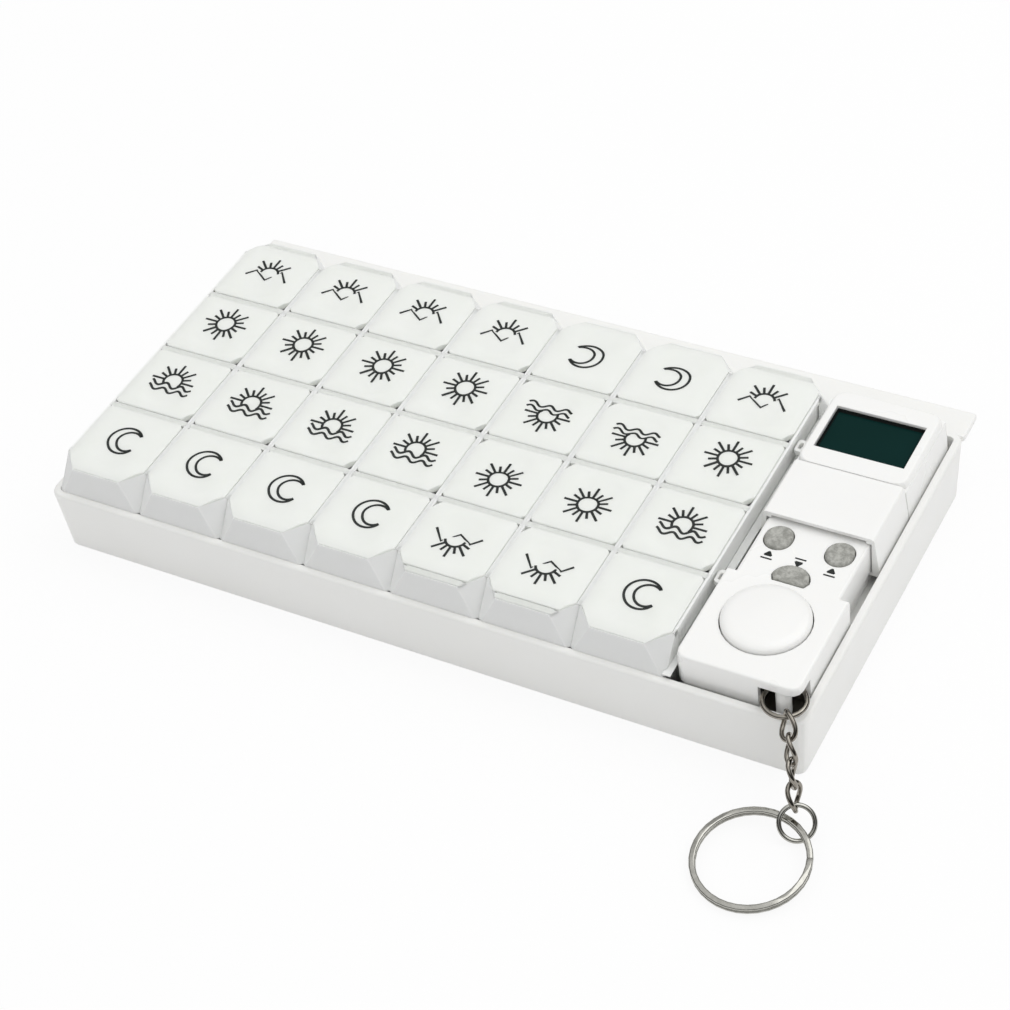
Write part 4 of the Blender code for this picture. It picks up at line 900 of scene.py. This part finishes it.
@dataclass
class TimerFob:
    """The timer fob: case, sliding cover, display, buttons and the marks beside them."""

    rounding: float = 0.18 * MM
    housing_draft: float = 1.3 * MM
    housing_lean: float = 8.9 * MM
    # The share that is kept of what would stand past the leaning wall, so its corners stay apart.
    squeeze: float = 0.08
    # The corner notch, and the dark sheets of painted shade laid in it.
    notch: Point = (10.6 * MM, 6.9 * MM)
    notch_levels: Point = (16.2 * MM, 24.7 * MM)
    shade_sheet: float = 0.12 * MM
    shade_margin: float = 1.4 * MM
    key_rim: float = 0.5 * MM
    key_dish: float = 0.25 * MM
    dome_flange: float = 0.6 * MM
    dome_shoulder: float = 3.4 * MM
    dome_rise: float = 1.35 * MM
    dome_side: float = 0.8 * MM
    dome_crown: float = 0.35 * MM
    shoulder_steps: int = 8
    crown_steps: int = 5
    turn_steps: int = 72
    display_depth: float = 1.0 * MM
    display_wall: float = 0.35 * MM
    pane_gap: float = 0.03 * MM
    mark_width: float = 1.9 * MM
    mark_height: float = 1.4 * MM
    mark_line: float = 0.5 * MM
    mark_fill: Triple = (0.0, 0.45, 0.9)
    bar_half: float = 1.5 * MM
    bar_away: float = 1.1 * MM
    # Where each key's mark lies from the key's middle; its arrowhead points at the key.
    mark_places: tuple[Point, ...] = ((-0.2 * MM, -6.6 * MM), (0.2 * MM, -6.6 * MM), (-0.2 * MM, 4.6 * MM))

    def shell(self, node: str) -> Piece:
        """Make a case part with softened corners."""
        body = merged_copy(node)
        soften(body, self.rounding)
        return even_out(finished(f"{node}_shell", body))

    def face_shell(self) -> Piece:
        """Make the top shell, the walls of its raised rear leaning inwards towards the top.

        Returns:
            The shell's piece.
        """
        body = merged_copy("fob_face")
        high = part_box("fob_face")[1]
        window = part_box("display_window")
        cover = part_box("slide_cover")[1]
        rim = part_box("tray")[1].z
        left = window[0].x + window[1].x - high.x
        middle = Vector(((left + high.x) / 2, 0.0))
        half = Vector((high.x - middle.x, high.y))
        for vertex in body.verts:
            if vertex.co.y < cover.y or vertex.co.z < rim or vertex.co.x < left:
                continue
            inwards = self.housing_draft * min(1.0, (vertex.co.z - rim) / self.housing_lean)
            for axis, centre, reach in ((0, middle.x, half.x), (1, middle.y, half.y)):
                away = vertex.co[axis] - centre
                room = reach - inwards
                limit = room + (abs(away) - room) * self.squeeze
                if abs(away) > room and (axis == 0 or away > 0):
                    vertex.co[axis] = centre + math.copysign(limit, away)
        soften(body, self.rounding)
        return even_out(finished("fob_face_shell", body))

    def notch_shade(self) -> Piece:
        """Make dark sheets at the side, back and floor of the corner notch: painted shade for the shadow
        in it.

        Returns:
            The piece of painted shade.
        """
        low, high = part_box("fob_face")
        left = high.x - self.notch[0]
        right = high.x - self.shade_margin
        front = low.y + self.shade_margin
        back = low.y + self.notch[1]
        bottom, top = self.notch_levels
        body = bmesh.new()
        for start, end in (((left, front, bottom), (left + self.shade_sheet, back, top)),
                           ((left, back - self.shade_sheet, bottom), (right, back, top)),
                           ((left, front, bottom), (right, back, bottom + self.shade_sheet))):
            add_block(body, (Vector(end) + Vector(start)) / 2, Vector(end) - Vector(start))
        return finished("notch_painted_shade", body)

    def key(self, node: str) -> Piece:
        """Make a rubber key whose face is dished inside a raised rim.

        Args:
            node: The CAD node of the key.

        Returns:
            The key's piece.
        """
        body = merged_copy(node)
        face = max(body.faces, key=lambda f: f.calc_center_median().z)
        for thickness, depth in ((self.key_rim, 0.0), (self.key_rim, -self.key_dish)):
            bmesh.ops.inset_region(body, faces=[face], thickness=thickness, depth=depth,
                                   use_even_offset=True)
        return finished(f"{node}_cap", body, 60.0)

    def dome(self) -> Piece:
        """Make the large button: a short round side, a full shoulder and a slightly crowned top.

        Returns:
            The button's piece.
        """
        low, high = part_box("dome_button")
        radius = (high.x - low.x) / 2 - self.dome_flange
        foot = high.z - self.dome_crown - self.dome_rise - self.dome_side
        profile = [(radius, low.z), (radius, foot), (radius, foot + self.dome_side)]
        for step in range(1, self.shoulder_steps + 1):
            angle = math.pi / 2 * step / self.shoulder_steps
            profile.append((radius - self.dome_shoulder * (1 - math.cos(angle)),
                            foot + self.dome_side + self.dome_rise * math.sin(angle)))
        flat = radius - self.dome_shoulder
        for step in range(1, self.crown_steps + 1):
            share = step / self.crown_steps
            profile.append((flat * (1 - share), high.z - self.dome_crown * (1 - share) ** 2))
        body = bmesh.new()
        verts = [body.verts.new((x, 0.0, z)) for x, z in profile]
        edges = [body.edges.new(pair) for pair in zip(verts, verts[1:])]
        bmesh.ops.spin(body, geom=[*verts, *edges], cent=(0.0, 0.0, 0.0), axis=(0.0, 0.0, 1.0),
                       angle=math.tau, steps=self.turn_steps, use_merge=True)
        bmesh.ops.remove_doubles(body, verts=body.verts, dist=SAME_PLACE)
        bmesh.ops.holes_fill(body, edges=[edge for edge in body.edges if edge.is_boundary], sides=0)
        bmesh.ops.recalc_face_normals(body, faces=body.faces)
        middle = Vector(((low.x + high.x) / 2, (low.y + high.y) / 2, 0.0))
        bmesh.ops.translate(body, verts=body.verts, vec=middle)
        return finished("dome_button_cap", body, 50.0)

    def display(self) -> list[Piece]:
        """Make the display: a well under the window's edge, black as painted shade for that edge's shadow,
        with the dark cell at its bottom.

        Returns:
            The well and the cell.
        """
        low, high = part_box("display_window")
        size = high - low
        middle = (low + high) / 2
        well = bmesh.new()
        add_block(well, middle, size)
        face = max(well.faces, key=lambda f: f.calc_center_median().z)
        bmesh.ops.inset_region(well, faces=[face], thickness=self.display_wall, use_even_offset=True)
        bmesh.ops.translate(well, verts=face.verts, vec=(0.0, 0.0, -self.display_depth))
        cell = bmesh.new()
        bmesh.ops.create_grid(cell, x_segments=2, y_segments=2, size=0.5)
        inner = (size.x - 2 * self.display_wall, size.y - 2 * self.display_wall, 1.0)
        bmesh.ops.scale(cell, verts=cell.verts, vec=inner)
        bmesh.ops.translate(cell, verts=cell.verts,
                            vec=(middle.x, middle.y, high.z - self.display_depth + self.pane_gap))
        return [finished("display_well", well), finished("display_pane", cell)]

    def marks(self, surface: BVHTree) -> list[Piece]:
        """Print a small arrowhead, which points at its key, and a bar beside each key.

        Args:
            surface: The deck on which they lie.

        Returns:
            The printed marks.
        """
        ink = PrintedSign(line=self.mark_line)
        half = self.mark_width / 2
        pieces = []
        for node, shift in zip(KEYS, self.mark_places):
            low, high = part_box(node)
            middle = (low + high) / 2
            way = 1 if shift[1] < 0 else -1
            heights = [(share, way * self.mark_height * (1 - share / 2)) for share in self.mark_fill]
            strokes = [[(side * (half - half * share), 0.0), (0.0, height)]
                       for side in (-1, 1) for share, height in heights]
            strokes.append([(-half, 0.0), (half, 0.0)])
            strokes.append([(-self.bar_half, -way * self.bar_away), (self.bar_half, -way * self.bar_away)])
            place = Matrix.Translation((middle.x + shift[0], middle.y + shift[1], 0.0))
            pieces.append(ink.build(f"{node}_mark", strokes, place, surface))
        return pieces

    def dress(self) -> None:
        """Build the fob's pieces and give them their finishes."""
        for node, body in (("fob_base", "fob"), ("slide_cover", "slide_cover"),
                           ("battery_door", "battery_door")):
            settle(self.shell(node), CASE_PLASTIC, body, (node,))
        face = settle(self.face_shell(), CASE_PLASTIC, "fob", ("fob_face",))
        # Dark sheets in the corner notch: painted shade for its shadow.
        settle(self.notch_shade(), NOTCH_SHADE_PLASTIC, "fob")
        for node in KEYS:
            settle(self.key(node), KEY_RUBBER, node, (node,))
        settle(self.dome(), CASE_PLASTIC, "dome_button", ("dome_button",))
        well, pane = self.display()
        # The well's black is painted shade for the shadow of the window's edge.
        settle(well, WELL_SHADE_PLASTIC, "fob", ("display_window",))
        settle(pane, DISPLAY, "fob")
        for mark in self.marks(surface_of(face)):
            settle(mark, INK, "fob")
        for node, finish in (("display_module", DISPLAY), ("circuit_board", LAMINATE),
                             ("coin_cell", CELL_METAL), ("buzzer", BUZZER_PLASTIC),
                             ("case_screw_1", CELL_METAL), ("case_screw_2", CELL_METAL)):
            finish.dress(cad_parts[node])


@dataclass
class KeyChain:
    """The key chain: corner ring, twisted links, jump ring and split ring."""

    swell: float = 0.11 * MM
    rounding: float = 0.36 * MM
    # The largest angles between and within faces, in degrees, at which two triangles become one face.
    facet_angle: float = 40.0
    facet_skew: float = 60.0

    def wire(self, node: str) -> Piece:
        """Make a bent wire round and smooth from its facetted solid.

        Args:
            node: The CAD node of the wire.

        Returns:
            The wire's piece.
        """
        body = bmesh.new()
        body.from_mesh(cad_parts[node].data)
        bmesh.ops.remove_doubles(body, verts=body.verts, dist=SAME_PLACE)
        bmesh.ops.join_triangles(body, faces=body.faces,
                                 angle_face_threshold=math.radians(self.facet_angle),
                                 angle_shape_threshold=math.radians(self.facet_skew))
        piece = finished(f"{node}_wire", body, 180.0)
        fuller = piece.modifiers.new("fuller", "DISPLACE")
        fuller.strength = self.swell
        fuller.mid_level = 0.0
        smooth = piece.modifiers.new("smooth", "SUBSURF")
        smooth.levels = 2
        smooth.render_levels = 2
        return piece

    def coil(self) -> Piece:
        """Make the split ring's flat wire with rounded corners."""
        body = merged_copy("split_ring")
        soften(body, self.rounding, 40.0, 3)
        return finished("split_ring_coil", body, 45.0)

    def dress(self) -> None:
        """Build the chain and give it its plating."""
        for node in ("corner_ring", "chain_link_1", "chain_link_2", "chain_link_3", "chain_link_4"):
            # The corner ring and links take the darker copy: painted shade for the dark surroundings they
            # reflect.
            settle(self.wire(node), SHADED_WIRE_METAL, node, (node,))
        settle(self.wire("jump_ring"), WIRE_METAL, "jump_ring", ("jump_ring",))
        settle(self.coil(), WIRE_METAL, "split_ring", ("split_ring",))


@dataclass
class Studio:
    """The floor, the light and the camera."""

    eye_mm: Triple = (269.9, -402.2, 466.5)
    forward: Triple = (-0.40324, 0.60090, -0.69015)
    right: Triple = (0.87947, 0.46288, -0.11083)
    lens: float = 87.62
    sensor: float = 36.0
    floor_half: float = 4.0
    sky_levels: Point = (0.05, 0.65)
    sky_low: float = 0.40
    sky_high: float = 0.93
    room_dark: float = 0.05
    lamp_power: float = 6.5
    lamp_size: float = 1.4
    lamp_place: Triple = (0.55, 0.5, 1.4)
    floor_glow: float = 0.88
    room_levels: Point = (0.45, 0.85)

    def camera(self) -> None:
        """Set up the camera at the photograph's place."""
        data = bpy.data.cameras.new("camera")
        data.lens = self.lens
        data.sensor_width = self.sensor
        data.clip_start = 0.01
        data.clip_end = 50.0
        back = -Vector(self.forward).normalized()
        right = Vector(self.right)
        across = (right - back * right.dot(back)).normalized()
        upright = back.cross(across)
        camera = bpy.data.objects.new("camera", data)
        turn = Matrix((across, upright, back)).transposed().to_4x4()
        camera.matrix_world = Matrix.Translation(Vector(self.eye_mm) * MM) @ turn
        bpy.context.collection.objects.link(camera)
        bpy.context.scene.camera = camera

    def floor(self) -> None:
        """Lay a white floor that reads as white paper and keeps a light shadow."""
        body = bmesh.new()
        bmesh.ops.create_grid(body, x_segments=1, y_segments=1, size=self.floor_half)
        floor = finished("floor", body)
        material, tree, shader = blank_material("white_paper")
        path = add_node(tree, "ShaderNodeLightPath")
        seen = path.outputs["Is Camera Ray"]
        for kind in ("Is Glossy Ray", "Is Transmission Ray"):
            seen = add_node(tree, "ShaderNodeMath", {"operation": "ADD", "use_clamp": True},
                            {0: seen, 1: path.outputs[kind]}).outputs[0]
        share = add_node(tree, "ShaderNodeMath", {"operation": "MULTIPLY"}, {0: seen, 1: self.floor_glow})
        connect(tree, shader, {"Base Color": linear("#f4f4f4"), "Roughness": 0.9})
        glow = add_node(tree, "ShaderNodeEmission", None, {"Color": linear("#ffffff"), "Strength": 1.0})
        mix = add_node(tree, "ShaderNodeMixShader", None,
                       {0: share.outputs[0], 1: shader.outputs[0], 2: glow.outputs[0]})
        tree.links.new(mix.outputs[0], tree.nodes["Material Output"].inputs["Surface"])
        floor.data.materials.append(material)

    def sky(self) -> None:
        """Light the room softly, with dark surroundings in reflections and white behind the object."""
        world = bpy.data.worlds.new("studio")
        world.use_nodes = True
        bpy.context.scene.world = world
        tree = world.node_tree
        background = tree.nodes["Background"]
        way = add_node(tree, "ShaderNodeTexCoord").outputs["Generated"]
        height = add_node(tree, "ShaderNodeSeparateXYZ", None, {0: way}).outputs["Z"]
        level = add_node(tree, "ShaderNodeMapRange", {"interpolation_type": "SMOOTHSTEP"},
                         {"Value": height, "From Min": self.sky_levels[0], "From Max": self.sky_levels[1],
                          "To Min": self.sky_low, "To Max": self.sky_high})
        room = add_node(tree, "ShaderNodeMapRange", {"interpolation_type": "SMOOTHSTEP"},
                        {"Value": height, "From Min": self.room_levels[0], "From Max": self.room_levels[1],
                         "To Min": self.room_dark, "To Max": self.sky_high})
        path = add_node(tree, "ShaderNodeLightPath")
        lit = add_node(tree, "ShaderNodeMix", {"data_type": "FLOAT"},
                       {0: path.outputs["Is Glossy Ray"], 2: level.outputs["Result"],
                        3: room.outputs["Result"]})
        strength = add_node(tree, "ShaderNodeMix", {"data_type": "FLOAT"},
                            {0: path.outputs["Is Camera Ray"], 2: lit.outputs[0], 3: 1.0})
        background.inputs["Color"].default_value = linear("#ffffff")
        tree.links.new(strength.outputs[0], background.inputs["Strength"])

    def lamp(self) -> None:
        """Hang one large soft lamp over the object."""
        data = bpy.data.lights.new("soft_box", "AREA")
        data.shape = "SQUARE"
        data.size = self.lamp_size
        data.energy = self.lamp_power
        lamp = bpy.data.objects.new("soft_box", data)
        lamp.location = self.lamp_place
        lamp.rotation_euler = (-Vector(self.lamp_place)).to_track_quat("-Z", "Y").to_euler()
        bpy.context.collection.objects.link(lamp)

    def dress(self) -> None:
        """Set up everything round the object."""
        self.camera()
        self.floor()
        self.sky()
        self.lamp()
        bpy.context.scene.view_settings.view_transform = "Standard"


def main() -> None:
    """Build the scene, piece by piece."""
    logging.basicConfig(level=logging.INFO, format="%(message)s")
    Studio().dress()
    TrayShell().dress()
    for column in range(1, COLUMNS + 1):
        PillStrip(column, column in TURNED_COLUMNS).dress()
    TimerFob().dress()
    KeyChain().dress()


if __name__ == "__main__":
    main()
